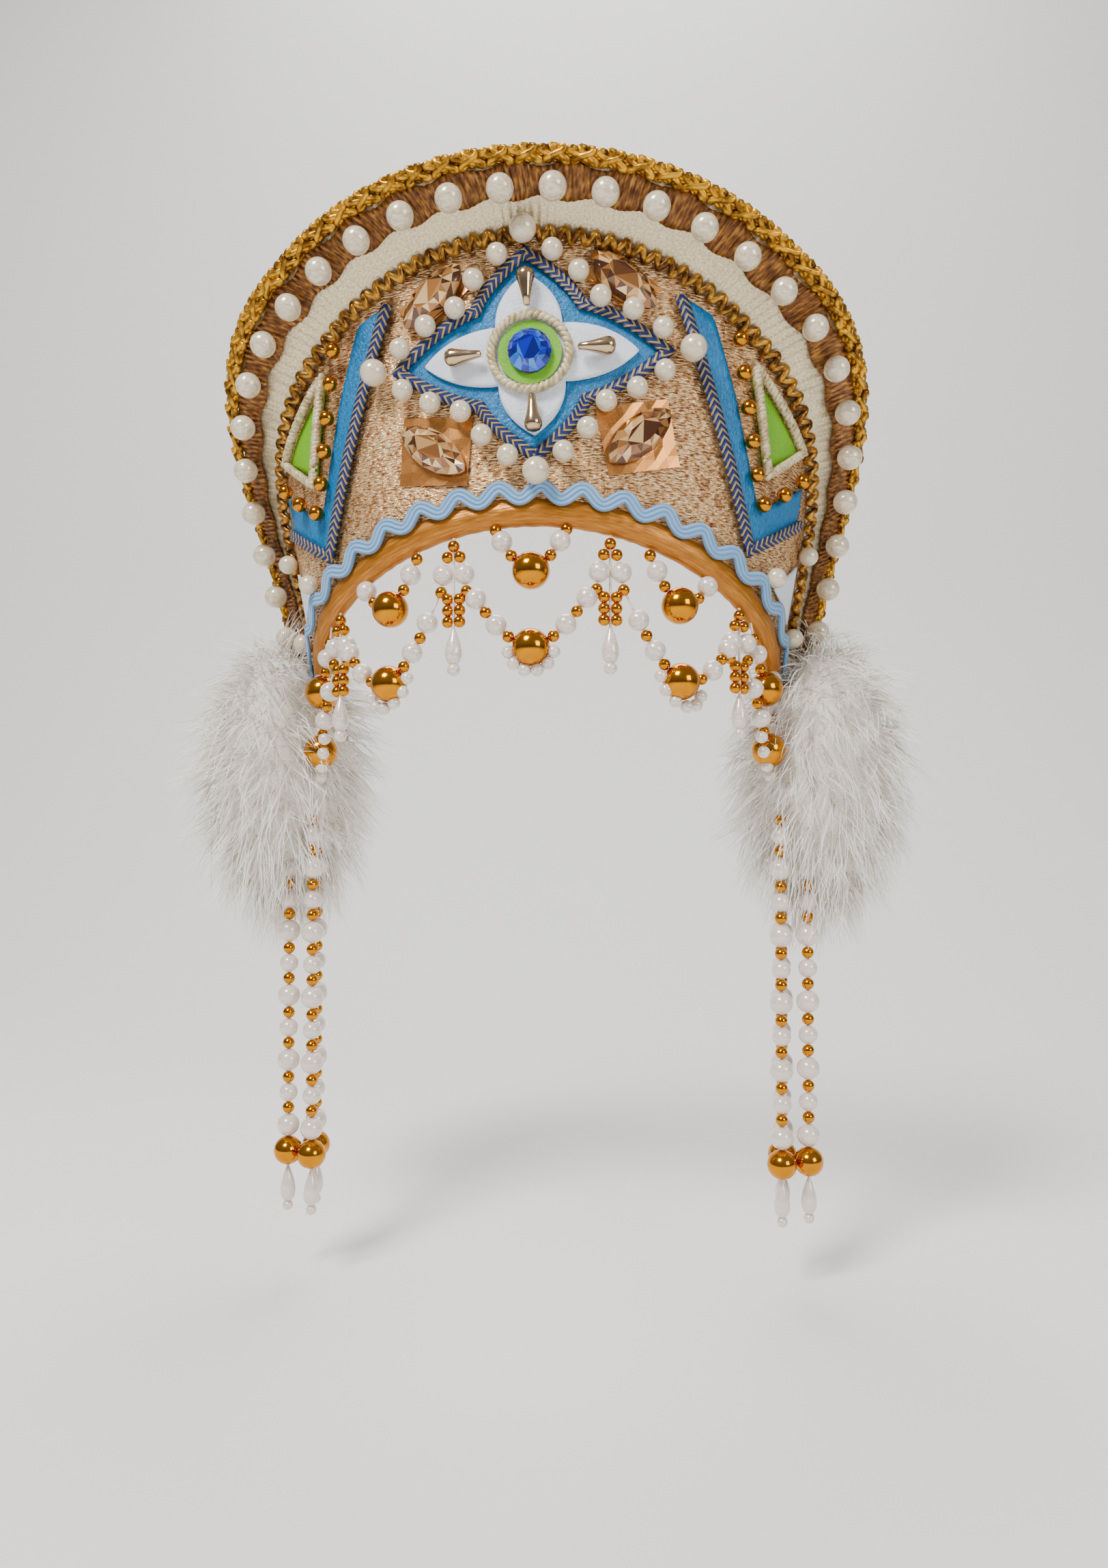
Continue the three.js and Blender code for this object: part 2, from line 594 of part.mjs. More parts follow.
// Side panels: turquoise strips edged with braid, a lime triangle in cord and gold beads.
const LONG_STEP = 14;
const sideLine = (points, sign) => {
  const line = points.map((p) => ({ u: sign * p.u, v: p.v }));
  return crestTrack(stepped(line, LONG_STEP));
};
for (const { name, sign } of SIDES) {
  add("side_panel_" + name, sheet(mirrored(PANEL_SECTIONS, sign), SEAT, backTop), "turquoise");
  const edge = strip(sideLine(PANEL_BRAID, sign), BRAID_WIDTH, backTop + GAP, backTop + GAP + BRAID);
  add("panel_braid_" + name, edge, "blueBraid");
  add("side_triangle_" + name, sheet(mirrored(TRIANGLE_SECTIONS, sign), SEAT, backTop), "lime");
  const cord = roll(sideLine(TRIANGLE_CORD, sign), 6, RING.tube, RING.tube, backTop + GAP + RING.tube);
  add("triangle_cord_" + name, cord, "cord");
  const beads = roll(sideLine(SIDE_BEADS, sign), 8, BEAD / 2, BEAD / 2, backTop + GAP + BEAD / 2);
  add("side_beads_" + name, beads, "gold");
  add("corner_triangle_" + name, sheet(mirrored(CORNER_SECTIONS, sign), SEAT, backTop), "white");
  for (const pearl of CORNER_PEARLS) {
    const centre = onCrest(sign * pearl.u, pearl.v, GAP + CORNER_PEARL / 2);
    add("corner_pearl_" + pearl.name + "_" + name, ball(centre, CORNER_PEARL), "pearl");
  }
}

// Forehead net: a point that hangs below the binding at u, by a drop.
function hung(u, drop) {
  const top = onCrest(u, lowEdge(u), 0);
  return new THREE.Vector3(top.x, top.y, top.z - GAP - drop);
}
// On the slope of the sides a string starts lower, so that it clears the binding beside it.
const HEADER = 1.8;
const stringStart = (u) => HEADER / 2 + (NET_STRING / 2) * browSlope(u);
const headerLine = bentBox(16, 1, (s, t, h) => {
  const u = NET_HEADER_REACH * (2 * s - 1);
  const at = onCrest(u, lowEdge(u), (h - 0.5) * HEADER);
  const low = (1 - t) * (HEADER + stringStart(u)) + t * browSlope(u);
  return new THREE.Vector3(at.x, at.y, hung(u, low).z);
});
const netPieces = [headerLine];
for (const u of NET_COLUMNS) {
  const foot = NET_COLUMN_LENGTH;
  const column = [
    { r: 0, z: -foot - NET_TEAR.length },
    { r: NET_TEAR.radius * 0.7, z: -foot - NET_TEAR.length * 0.95 },
    { r: NET_TEAR.radius, z: -foot - NET_TEAR.length * 0.7 },
    { r: NET_STRING * 0.3, z: -foot },
    { r: NET_STRING / 2, z: -foot + 3 },
    { r: NET_STRING / 2, z: -stringStart(u) },
    { r: 0, z: -stringStart(u) },
  ];
  const top = hung(u, 0);
  netPieces.push(turned(column, 8).translate(top.x, top.y, top.z));
}
for (const u of NET_SWAGS) {
  const { half, drop } = UPPER_SWAG;
  const low = hung(u, drop);
  const first = hung(u - half, stringStart(u - half));
  const last = hung(u + half, stringStart(u + half));
  const points = [first, hung(u - half * 0.75, drop * 0.6), low, hung(u + half * 0.75, drop * 0.6), last];
  netPieces.push(string(points, NET_STRING, 4), ball(low, NET_BIG));
}
for (const swag of LOWER_SWAGS) {
  const u = (swag.from + swag.to) / 2;
  const first = hung(swag.from, swag.fromDrop);
  const last = hung(swag.to, swag.toDrop);
  const low = hung(u, swag.drop);
  const near = hung(swag.from * 0.7 + u * 0.3, swag.fromDrop * 0.45 + swag.drop * 0.55);
  const far = hung(swag.to * 0.7 + u * 0.3, swag.toDrop * 0.45 + swag.drop * 0.55);
  netPieces.push(string([first, near, low, far, last], NET_STRING, 4), ball(low, NET_BIG));
}
add("forehead_net", joined(netPieces), "pearl");

// Strands: strings of pearls that hang straight, each with a gold bead and a drop at its foot.
function strand(x, y) {
  const big = STRAND.big;
  const tearTop = STRAND.bigDrop + big;
  const rows = [
    { r: 0, z: -STRAND.length },
    { r: STRAND.tip, z: -STRAND.length + 1.5 },
    { r: STRAND.tear, z: -STRAND.length + 7 },
    { r: 1.5, z: -tearTop },
    { r: big, z: -STRAND.bigDrop },
    { r: STRAND.string, z: -STRAND.bigDrop + big * 0.8 },
    { r: STRAND.string, z: 0 },
    { r: 0, z: 0 },
  ];
  return turned(rows, 8).translate(x, y, STRAND.top);
}

// Ear puff: long fur in pointed locks on a rounded pad, slit where the crest's end goes in.
const GOLDEN_TURN = Math.PI * (3 - Math.sqrt(5));
const CREST_ROOM = 7;
const DROOP = 0.8;
function furPuff(sign) {
  const pad = new THREE.SphereGeometry(1, 12, 7).scale(FUR.wide, FUR.deep, FUR.tall);
  let fur = asSolid(closed(pad));
  for (let i = 0; i < FUR.locks; i++) {
    const z = 1 - (2 * i + 1) / FUR.locks;
    const a = i * GOLDEN_TURN;
    const out = new THREE.Vector3(Math.cos(a) * Math.sqrt(1 - z * z), Math.sin(a) * Math.sqrt(1 - z * z), z);
    const seat = new THREE.Vector3(out.x * FUR.wide, out.y * FUR.deep, out.z * FUR.tall);
    const way = new THREE.Vector3(out.x, out.y, out.z - DROOP).normalize();
    const lock = new THREE.ConeGeometry(FUR.lock, FUR.lock * 2, 4).translate(0, FUR.lock * 0.35, 0);
    lock.applyQuaternion(new THREE.Quaternion().setFromUnitVectors(new THREE.Vector3(0, 1, 0), way));
    fur = fur.add(asSolid(closed(lock.translate(seat.x, seat.y, seat.z))));
  }
  const put = asGeometry(fur).translate(sign * FUR.x, FUR.y, FUR.z);
  let puff = asSolid(closed(put));
  const netSlit = [92, 105, 118, NET_HEADER_REACH + 3].map((u) => ({ u, low: FUR.z, high: -LEAN_BASE }));
  const endSlit = [NET_HEADER_REACH, FIELD_SPAN + BINDING_HEIGHT / 2].map((u) => {
    return { u, low: besideBrow(u, -2 * GAP), high: -LEAN_BASE };
  });
  for (const slit of [netSlit, endSlit]) {
    puff = puff.subtract(asSolid(sheet(mirrored(slit, sign), -BOARD - CLOTH - 4 * GAP, CREST_ROOM)));
  }
  const rimSlit = bentBox(8, 1, (s, t, h) => {
    const way = sign > 0 ? 0.8 + 0.2 * s : 0.2 * s;
    return onRim(way, -2 + t * (cordLine + 8), -4.5 + h * 20);
  });
  puff = puff.subtract(asSolid(rimSlit));
  for (const { x, y } of STRANDS) {
    const bore = new THREE.CylinderGeometry(STRAND.string + GAP, STRAND.string + GAP, FUR.tall, 8);
    bore.rotateX(Math.PI / 2).translate(sign * x, y, STRAND.top + 2 * GAP - FUR.tall / 2);
    puff = puff.subtract(asSolid(closed(bore)));
  }
  return asGeometry(puff.decompose().sort((a, b) => b.volume() - a.volume())[0]);
}
for (const { name, sign } of SIDES) {
  add("fur_" + name, furPuff(sign), "fur");
  for (const { name: place, x, y } of STRANDS) {
    add("strand_" + place + "_" + name, strand(sign * x, y), "pearl");
  }
}

export default root;
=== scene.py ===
import math
import random

import bmesh
import bpy
import numpy as np
from mathutils import Matrix, Vector


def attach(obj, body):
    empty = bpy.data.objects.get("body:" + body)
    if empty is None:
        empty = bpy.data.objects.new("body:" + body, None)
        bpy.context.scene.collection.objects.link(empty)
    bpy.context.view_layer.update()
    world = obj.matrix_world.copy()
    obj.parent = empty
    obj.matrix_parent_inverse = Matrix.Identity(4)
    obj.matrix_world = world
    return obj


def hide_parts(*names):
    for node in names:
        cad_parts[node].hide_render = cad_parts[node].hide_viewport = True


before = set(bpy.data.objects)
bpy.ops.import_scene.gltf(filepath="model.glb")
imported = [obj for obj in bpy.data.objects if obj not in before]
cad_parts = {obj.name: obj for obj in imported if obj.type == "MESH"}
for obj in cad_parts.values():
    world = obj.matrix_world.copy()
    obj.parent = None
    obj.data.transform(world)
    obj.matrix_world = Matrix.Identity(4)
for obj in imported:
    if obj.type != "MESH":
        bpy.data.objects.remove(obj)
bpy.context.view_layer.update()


# The crest is a stiff board under rose-gold brocade, bent round the front half of the head.
# Sizes are in millimetres along the unrolled crest: u round it, v up and w out of its face.
FRONT_Y = -88.0
FRONT_RADIUS = 115.0
FRONT_ANGLE = math.radians(40)
SIDE_RADIUS = 72.0
SIDE_LEAN = 0.2
LEAN_BASE = -43.0
FIELD_SPAN = 143.0
EAR_HEIGHT = -48.0
FIELD_RISE = 155.0
SHOULDER = 1.14
BROW_FLATNESS = 276.0
BINDING_HEIGHT = 10.5
BOARD = 3.0
TUCK = 2.0


def on_crest(u, v, w):
    side = math.copysign(1, u)
    front_end = FRONT_RADIUS * FRONT_ANGLE
    side_end = front_end + SIDE_RADIUS * (math.pi / 2 - FRONT_ANGLE)
    way = abs(u)
    front = min(way, front_end) / FRONT_RADIUS
    angle = front + max(0, min(way, side_end) - front_end) / SIDE_RADIUS
    x = FRONT_RADIUS * math.sin(front) + SIDE_RADIUS * (math.sin(angle) - math.sin(front))
    y = FRONT_Y + FRONT_RADIUS * (1 - math.cos(front)) + SIDE_RADIUS * (math.cos(front) - math.cos(angle))
    out = w + SIDE_LEAN * math.sin(angle) ** 2 * (v - LEAN_BASE)
    x += math.sin(angle) * out
    y += max(0, way - side_end) - math.cos(angle) * out
    return Vector((side * x, y, v)) / 1000


def beside_brow(u, way):
    slope = 2 * abs(u) / BROW_FLATNESS
    return -u * u / BROW_FLATNESS + way * math.hypot(1, slope)


EDGE_ANGLES = np.linspace(-math.pi / 2, math.pi / 2, 1201)
EDGE_U = FIELD_SPAN * np.sin(EDGE_ANGLES)
EDGE_V = EAR_HEIGHT + FIELD_RISE * np.maximum(0, np.cos(EDGE_ANGLES)) ** SHOULDER
EDGE_WAY = np.concatenate([[0], np.cumsum(np.hypot(np.diff(EDGE_U), np.diff(EDGE_V)))])


def edge_at(s):
    way = s * EDGE_WAY[-1]
    return float(np.interp(way, EDGE_WAY, EDGE_U)), float(np.interp(way, EDGE_WAY, EDGE_V))


def bent_grid(columns, rows, place, chart=None):
    bm = bmesh.new()
    layer = bm.loops.layers.uv.new("chart")
    bmesh.ops.create_grid(bm, x_segments=columns, y_segments=rows, size=0.5)
    for face in bm.faces:
        for loop in face.loops:
            s, t = loop.vert.co.x + 0.5, loop.vert.co.y + 0.5
            loop[layer].uv = chart(s, t) if chart else (s, t)
    for vert in bm.verts:
        vert.co = place(vert.co.x + 0.5, vert.co.y + 0.5)
    return bm


def show(name, data, material, slot, *nodes):
    data.materials.append(material)
    obj = bpy.data.objects.new(name, data)
    bpy.context.scene.collection.objects.link(obj)
    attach(obj, "root")
    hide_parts(*nodes)
    return obj


def as_mesh(name, bm, smooth=True):
    mesh = bpy.data.meshes.new(name)
    bm.to_mesh(mesh)
    bm.free()
    if smooth:
        mesh.shade_smooth()
    return mesh


def thicken(obj, thickness):
    solid = obj.modifiers.new("thickness", "SOLIDIFY")
    solid.thickness = thickness / 1000
    solid.offset = -1
    return obj


def linear(code):
    channels = [int(code[i : i + 2], 16) / 255 for i in (1, 3, 5)]
    return [c / 12.92 if c <= 0.04045 else ((c + 0.055) / 1.055) ** 2.4 for c in channels] + [1]


def finish(name, colour, roughness, metallic=0.0, **sockets):
    material = bpy.data.materials.new(name)
    material.use_nodes = True
    shader = material.node_tree.nodes["Principled BSDF"]
    shader.inputs["Base Color"].default_value = linear(colour)
    shader.inputs["Roughness"].default_value = roughness
    shader.inputs["Metallic"].default_value = metallic
    for socket, value in sockets.items():
        shader.inputs[socket.replace("_", " ")].default_value = value
    return material


def add_node(material, kind, settings=None, **inputs):
    made = material.node_tree.nodes.new(kind)
    for key, value in (settings or {}).items():
        setattr(made, key, value)
    for key, value in inputs.items():
        numbered = key[0] == "n" and key[1:].isdigit()
        socket = made.inputs[int(key[1:]) if numbered else key.replace("_", " ")]
        if isinstance(value, bpy.types.NodeSocket):
            material.node_tree.links.new(value, socket)
        else:
            socket.default_value = value
    return made


def ramp(material, factor, *stops):
    made = add_node(material, "ShaderNodeValToRGB", n0=factor)
    while len(made.color_ramp.elements) < len(stops):
        made.color_ramp.elements.new(0.5)
    for element, (position, colour) in zip(made.color_ramp.elements, stops):
        element.position = position
        element.color = linear(colour)
    return made.outputs["Color"]


def feed(material, socket, value):
    shader = material.node_tree.nodes["Principled BSDF"]
    material.node_tree.links.new(value, shader.inputs[socket])


def bump(material, height, strength, distance):
    made = add_node(material, "ShaderNodeBump", Height=height, Strength=strength, Distance=distance)
    feed(material, "Normal", made.outputs["Normal"])


def chart_of(material, scale):
    coordinates = add_node(material, "ShaderNodeTexCoord")
    return add_node(
        material, "ShaderNodeMapping", Vector=coordinates.outputs["UV"], Scale=scale
    ).outputs["Vector"]


def crest_at(s, t):
    u, high = edge_at(s)
    low = beside_brow(u, BINDING_HEIGHT - TUCK)
    return u, low + (high + TUCK / 2 - low) * t


# Metal threads float across a dull rose ground, so single stitches catch the light; their colour adds painted
# shade in the gaps and painted glints on the stitches.
brocade = finish("brocade", "#C79A6E", 0.32, 0.7)
scroll = add_node(
    brocade, "ShaderNodeTexNoise", Vector=chart_of(brocade, (1, 1, 1)), Scale=16, Detail=4, Distortion=2.0
).outputs["Fac"]
stitches = add_node(
    brocade, "ShaderNodeTexNoise", Vector=chart_of(brocade, (44, 170, 1)), Scale=1, Detail=2
).outputs["Fac"]
# Thread colour: the darkest stop is painted shade between stitches, the brightest a painted glint.
threads_shade_and_glints = ramp(
    brocade, stitches, (0.36, "#80522A"), (0.46, "#D4A470"), (0.55, "#ECC692"), (0.66, "#FFF2CC")
)
figure = ramp(brocade, scroll, (0.36, "#A67C58"), (0.47, "#FFF2E4"), (0.62, "#FFFFFF"))
woven = add_node(
    brocade,
    "ShaderNodeMix",
    {"data_type": "RGBA", "blend_type": "MULTIPLY"},
    n0=0.75,
    n6=threads_shade_and_glints,
    n7=figure,
)
feed(brocade, "Base Color", woven.outputs[2])
feed(brocade, "Roughness", ramp(brocade, stitches, (0.4, "#C0C0C0"), (0.62, "#6A6A6A")))
bump(brocade, stitches, 0.7, 0.0016)
field = bent_grid(
    180,
    60,
    lambda s, t: on_crest(*crest_at(s, t), 0),
    lambda s, t: (crest_at(s, t)[0] / 100, crest_at(s, t)[1] / 100),
)
crest = show("crest_field", as_mesh("crest_field", field), brocade, "brocade", "crest_board")
thicken(crest, BOARD)


# Behind the board lies a dark teal lining, seen from the back: plain woven cloth, glued flat
# and trimmed to the board's edge.
LINING_BACK = -3.5
teal = finish("lining", "#0E4A45", 0.75, 0, Sheen_Weight=0.3)
slub = add_node(teal, "ShaderNodeTexNoise", Vector=chart_of(teal, (300, 60, 1)), Scale=1.5).outputs["Fac"]
bump(teal, slub, 0.3, 0.0005)
back = bent_grid(120, 24, lambda s, t: on_crest(*crest_at(s, t), LINING_BACK))
thicken(show("lining_cloth", as_mesh("lining_cloth", back), teal, "lining", "lining"), 1)


# A cream lame band flares forward of the field all round: metallic cloth over a stiff flange,
# with fine gathers across it.
FLARE = math.radians(45)
FLARE_SIDE_SHARE = 0.66
BAND = (-0.8, 25.5)
RIM_STOP = 0.005
GATHERS = 150


def on_rim(s, d, h):
    s = RIM_STOP + (1 - 2 * RIM_STOP) * s
    u, v = edge_at(s)
    before, after = edge_at(s - 0.002), edge_at(s + 0.002)
    du, dv = after[0] - before[0], after[1] - before[1]
    size = math.hypot(du, dv)
    x = min(1, max(0, v / (EAR_HEIGHT + FIELD_RISE)))
    reach = d * (FLARE_SIDE_SHARE + (1 - FLARE_SIDE_SHARE) * x * x * (3 - 2 * x))
    along = reach * math.cos(FLARE) - h * math.sin(FLARE)
    out = reach * math.sin(FLARE) + h * math.cos(FLARE)
    return on_crest(u - dv / size * along, v + du / size * along, out)


def band_at(s, t):
    pull = 0.35 * math.sin(2 * math.pi * (GATHERS * s + 0.6 * math.sin(37 * s)))
    return on_rim(s, BAND[0] + (BAND[1] - BAND[0]) * t, pull * (0.4 + 0.6 * t))


lame = finish("cream_lame", "#D9CBA8", 0.34, 0.5)
shimmer = add_node(
    lame, "ShaderNodeTexNoise", Vector=chart_of(lame, (700, 30, 1)), Scale=1, Detail=2
).outputs["Fac"]
# The shimmer noise paints the cream colour darker in its hollows and lighter on its tops: painted shade and
# sheen.
feed(lame, "Base Color", ramp(lame, shimmer, (0.3, "#C6B48C"), (0.5, "#DCCCA6"), (0.7, "#F4E8C8")))
bump(lame, shimmer, 0.25, 0.0006)
band = show("cream_band", as_mesh("cream_band", bent_grid(900, 6, band_at)), lame, "lame", "border_band")
thicken(band, 2)


# Pleated gold braid covers the outer half of the band, under the pearls, painted brown for the shade on its
# front face. Its edges ruffle in and out where the stitches pull it.
PEARL_LINE = 18.5
BRAID_SPAN = (13.0, 24.0)
BRAID_TOP = 2.4
RUFFLES = 29
PLEATS = 250


def pleat_at(s, t):
    fold = abs(math.sin(math.pi * (PLEATS * s + 0.8 * t + 0.5 * math.sin(90 * s))))
    ruffle = 0.9 * math.sin(2 * math.pi * RUFFLES * s) * (2 * t - 1)
    reach = BRAID_SPAN[0] + (BRAID_SPAN[1] - BRAID_SPAN[0]) * t
    return on_rim(s, reach + ruffle, BRAID_TOP - 1 + fold)


# The braid is the rim lace's gold: its brown base and the dark pleat stops are painted shade, the lighter
# stops painted light on the pleat ridges.
shaded_pleated_gold = finish("pleated_braid", "#8A5A22", 0.45, 0.35)
pleat_shade = add_node(
    shaded_pleated_gold, "ShaderNodeTexNoise", Vector=chart_of(shaded_pleated_gold, (420, 3, 1)), Scale=1, Detail=2
).outputs["Fac"]
feed(shaded_pleated_gold, "Base Color", ramp(shaded_pleated_gold, pleat_shade, (0.3, "#4E2A0C"), (0.5, "#7E4E1E"), (0.7, "#B98238")))
braid_strip = as_mesh("pleated_braid", bent_grid(1750, 5, pleat_at))
thicken(show("pleated_braid", braid_strip, shaded_pleated_gold, "brown_braid", "edge_braid"), 1)


# Bright gold lace runs along the rim: three cords of metal thread that wave across each other
# in loops, sewn to the band's outer edge.
CORD_LINE = 27.3
CORD_HEIGHT = 1.6
RIM_WAVES = 62
RIM_STEPS = 14
LACE_SWING = 2.3
WIRE = 1.15


def cord_curve(name, lines, radius, cyclic=False):
    curve = bpy.data.curves.new(name, "CURVE")
    curve.dimensions = "3D"
    curve.bevel_depth = radius / 1000
    curve.bevel_resolution = 2
    curve.use_fill_caps = True
    for points in lines:
        spline = curve.splines.new("POLY")
        spline.points.add(len(points) - 1)
        spline.points.foreach_set("co", [c for p in points for c in (*p, 1)])
        spline.use_cyclic_u = cyclic
    return curve


def lace_point(i, start):
    turn = 2 * math.pi * i / RIM_STEPS + start
    s = i / (RIM_STEPS * RIM_WAVES) + 0.0035 * math.sin(2 * turn)
    d = CORD_LINE + LACE_SWING * math.sin(turn)
    return on_rim(min(1, max(0, s)), d, CORD_HEIGHT + 1.3 * math.cos(turn + start))


def thread_gold(name, ply_shade, bright):
    gold = finish(name, bright, 0.34, 0.7)
    ply = add_node(gold, "ShaderNodeTexNoise", Scale=650, Detail=2).outputs["Fac"]
    # The darker colour is painted shade between the twisted plies.
    feed(gold, "Base Color", ramp(gold, ply, (0.38, ply_shade), (0.6, bright)))
    bump(gold, ply, 0.6, 0.0006)
    return gold


# Its darker colour is painted shade between the plies.
gold_thread = thread_gold("gold_thread", "#7A4E0A", "#DDA426")
lace = [[lace_point(i, 2 * math.pi * k / 3) for i in range(RIM_STEPS * RIM_WAVES + 1)] for k in range(3)]
show("rim_lace", cord_curve("rim_lace", lace, WIRE), gold_thread, "gold_braid", "edge_cord")


# Wavy gold gimp hides the crease between field and band: one cord of dull metal thread, glued
# down in tight waves.
GIMP_UP = 2.6
GIMP_IN = 0.8
GIMP_SWING = 2.0
GIMP_WAVES = 84
GIMP_STEPS = 12
GIMP_CORD = 1.35


def gimp_point(i):
    s = RIM_STOP + (1 - 2 * RIM_STOP) * i / (GIMP_WAVES * GIMP_STEPS)
    u, v = edge_at(s)
    before, after = edge_at(s - 0.002), edge_at(s + 0.002)
    du, dv = after[0] - before[0], after[1] - before[1]
    size = math.hypot(du, dv)
    phase = 2 * math.pi * i / GIMP_STEPS
    across = GIMP_SWING * math.sin(phase)
    lift = GIMP_UP + 0.3 * math.cos(2 * phase) + across * math.sin(FLARE / 2)
    along = across * math.cos(FLARE / 2) - GIMP_IN
    return on_crest(u - dv / size * along, v + du / size * along, lift)


# Its darker colour is painted shade between the plies.
gimp_gold = thread_gold("gimp_gold", "#5E380C", "#C48E34")
gimp_line = [gimp_point(i) for i in range(GIMP_WAVES * GIMP_STEPS + 1)]
show("gimp_cord", cord_curve("gimp_cord", [gimp_line], GIMP_CORD), gimp_gold, "gold_braid", "gimp_braid")


# One row of large ivory pearls sits on the pleated braid, evenly spaced and sewn through it.
# They are moulded beads under a coat of nacre lacquer.
BORDER_PEARL = 10.0
BORDER_PEARLS = 28
BORDER_PITCH = 18.6


def beads(name, places, material, slot, *nodes):
    bm = bmesh.new()
    for centre, diameter in places:
        bmesh.ops.create_icosphere(
            bm, subdivisions=3, radius=diameter / 2000, matrix=Matrix.Translation(centre)
        )
    return show(name, as_mesh(name, bm), material, slot, *nodes)


def spaced(points, ways):
    steps = [0.0]
    for a, b in zip(points, points[1:]):
        steps.append(steps[-1] + (b - a).length)
    axes = list(zip(*points))
    return [Vector([float(np.interp(way, steps, axis)) for axis in axes]) for way in ways], steps[-1]


def nacre(name, shade, light):
    coated = finish(name, light, 0.2, 0.12, Coat_Weight=1, Coat_Roughness=0.05)
    cloud = add_node(coated, "ShaderNodeTexNoise", Scale=140, Detail=2).outputs["Fac"]
    feed(coated, "Base Color", ramp(coated, cloud, (0.3, shade), (0.65, light)))
    return coated


pearl = nacre("ivory_pearl", "#CDB792", "#E9DCC4")
pearl_line = [on_rim(i / 400, PEARL_LINE, BRAID_TOP + 0.3 + BORDER_PEARL / 2) for i in range(401)]
whole = spaced(pearl_line, [0])[1]
first_pearl = whole / 2 - (BORDER_PEARLS - 1) / 2 * BORDER_PITCH / 1000
middle_out = [first_pearl + i * BORDER_PITCH / 1000 for i in range(BORDER_PEARLS)]
rim_row = [(p, BORDER_PEARL) for p in spaced(pearl_line, middle_out)[0]]
beads("rim_pearls", rim_row, pearl, "pearl", "border_pearls")


# The lower edge is bound with a padded roll of mustard-gold lame that rests on the forehead,
# puckered a little where it goes round the curve.
BINDING_DEPTH = 7.0


def beside_line(u, way):
    slope = -2 * u / BROW_FLATNESS
    size = math.hypot(1, slope)
    return u - slope / size * way, -u * u / BROW_FLATNESS + way / size


def binding_at(s, t):
    turn = 2 * math.pi * t
    pucker = 1 + 0.02 * math.sin(260 * s + 3 * math.sin(41 * s))
    way = BINDING_HEIGHT / 2 * (1 - math.cos(turn) * pucker)
    u, v = beside_line(FIELD_SPAN * (2 * s - 1), way)
    return on_crest(u, v, BINDING_DEPTH / 2 * math.sin(turn) * pucker - BOARD / 2)


gold_lame = finish("gold_lame", "#BC7C1E", 0.36, 0.45)
crinkle = add_node(
    gold_lame, "ShaderNodeTexNoise", Vector=chart_of(gold_lame, (36, 30, 1)), Scale=1.2, Detail=2
).outputs["Fac"]
# Over the mustard lamé the crinkle ramp paints darker shade in the crinkles and a lighter sheen on their tops.
mustard_and_crinkle_shade = ramp(gold_lame, crinkle, (0.3, "#9A5C0C"), (0.55, "#B4701A"), (0.75, "#C98A30"))
feed(gold_lame, "Base Color", mustard_and_crinkle_shade)
bump(gold_lame, crinkle, 0.25, 0.001)
roll = bent_grid(260, 20, binding_at)
bmesh.ops.remove_doubles(roll, verts=roll.verts, dist=1e-6)
bmesh.ops.holes_fill(roll, edges=[e for e in roll.edges if e.is_boundary])
bmesh.ops.recalc_face_normals(roll, faces=roll.faces)
show("binding_roll", as_mesh("binding_roll", roll), gold_lame, "gold_lame", "binding")


# Light blue rick-rack waves along the binding's upper edge: a flat woven trim with three ribs,
# sewn over the seam.
RICKRACK_WAVE = 13.7
RICKRACK_SWING = 2.4
RICKRACK_HALF = 2.4
RICKRACK_REACH = 136.0
RICKRACK_RISE = 11.5


def rickrack_at(s, t):
    u = RICKRACK_REACH * (2 * s - 1)
    phase = 2 * math.pi * u / RICKRACK_WAVE
    lean = RICKRACK_SWING * 2 * math.pi / RICKRACK_WAVE * math.cos(phase)
    across = (2 * t - 1) * RICKRACK_HALF
    bend = math.hypot(1, lean)
    way = RICKRACK_RISE + RICKRACK_SWING * math.sin(phase) + across / bend
    place = beside_line(u - across * lean / bend, way)
    return on_crest(*place, 3.3 + 0.35 * math.sin(math.pi * t))


blue_trim = finish("rick_rack", "#8DBBE3", 0.75, 0, Sheen_Weight=0.3)
RIBS = 3
ribs = add_node(
    blue_trim, "ShaderNodeTexWave", {"bands_direction": "Y"},
    Vector=chart_of(blue_trim, (1, RIBS, 1)), Scale=math.pi / 10,
).outputs["Fac"]
# The rib colour is painted: darker shade in the grooves between the ribs.
feed(blue_trim, "Base Color", ramp(blue_trim, ribs, (0.05, "#5E92C6"), (0.5, "#84B4E0")))
bump(blue_trim, ribs, 0.7, 0.0012)
trim = bent_grid(560, 4, rickrack_at)
thicken(show("rick_rack", as_mesh("rick_rack", trim), blue_trim, "blue_trim", "rickrack"), 1)


# The motif is four turquoise satin points with white satin petals on them, cut from stiffened
# cloth and sewn on a little aslant.
MOTIF_V = 62.0
MOTIF_TILT = math.radians(3)
BACKING = {"wide": 49, "tall": 37.5, "notch_u": 19, "notch_v": 17.5}
PETALS = {"wide": 38.5, "tall": 29.5, "notch_u": 12, "notch_v": 10.5, "bulge": 0.62, "square": 1.0}


def in_motif(u, v):
    c, s = math.cos(MOTIF_TILT), math.sin(MOTIF_TILT)
    return u * c - v * s, MOTIF_V + u * s + v * c


def bezier(a, b, c, t):
    return a * (1 - t) ** 2 + b * 2 * t * (1 - t) + c * t * t


def quarter(size, parts):
    tip = Vector((0, size["tall"]))
    notch = Vector((size["notch_u"], size["notch_v"]))
    end = Vector((size["wide"], 0))
    bulge, square = size.get("bulge", 0.45), size.get("square", 0.8)
    upper = Vector((notch.x * square, notch.y + bulge * (tip.y - notch.y)))
    side = Vector((notch.x + bulge * (end.x - notch.x), notch.y * square))
    steps = [i / parts for i in range(parts + 1)]
    return [bezier(tip, upper, notch, t) for t in steps] + [bezier(notch, side, end, t) for t in steps[1:]]


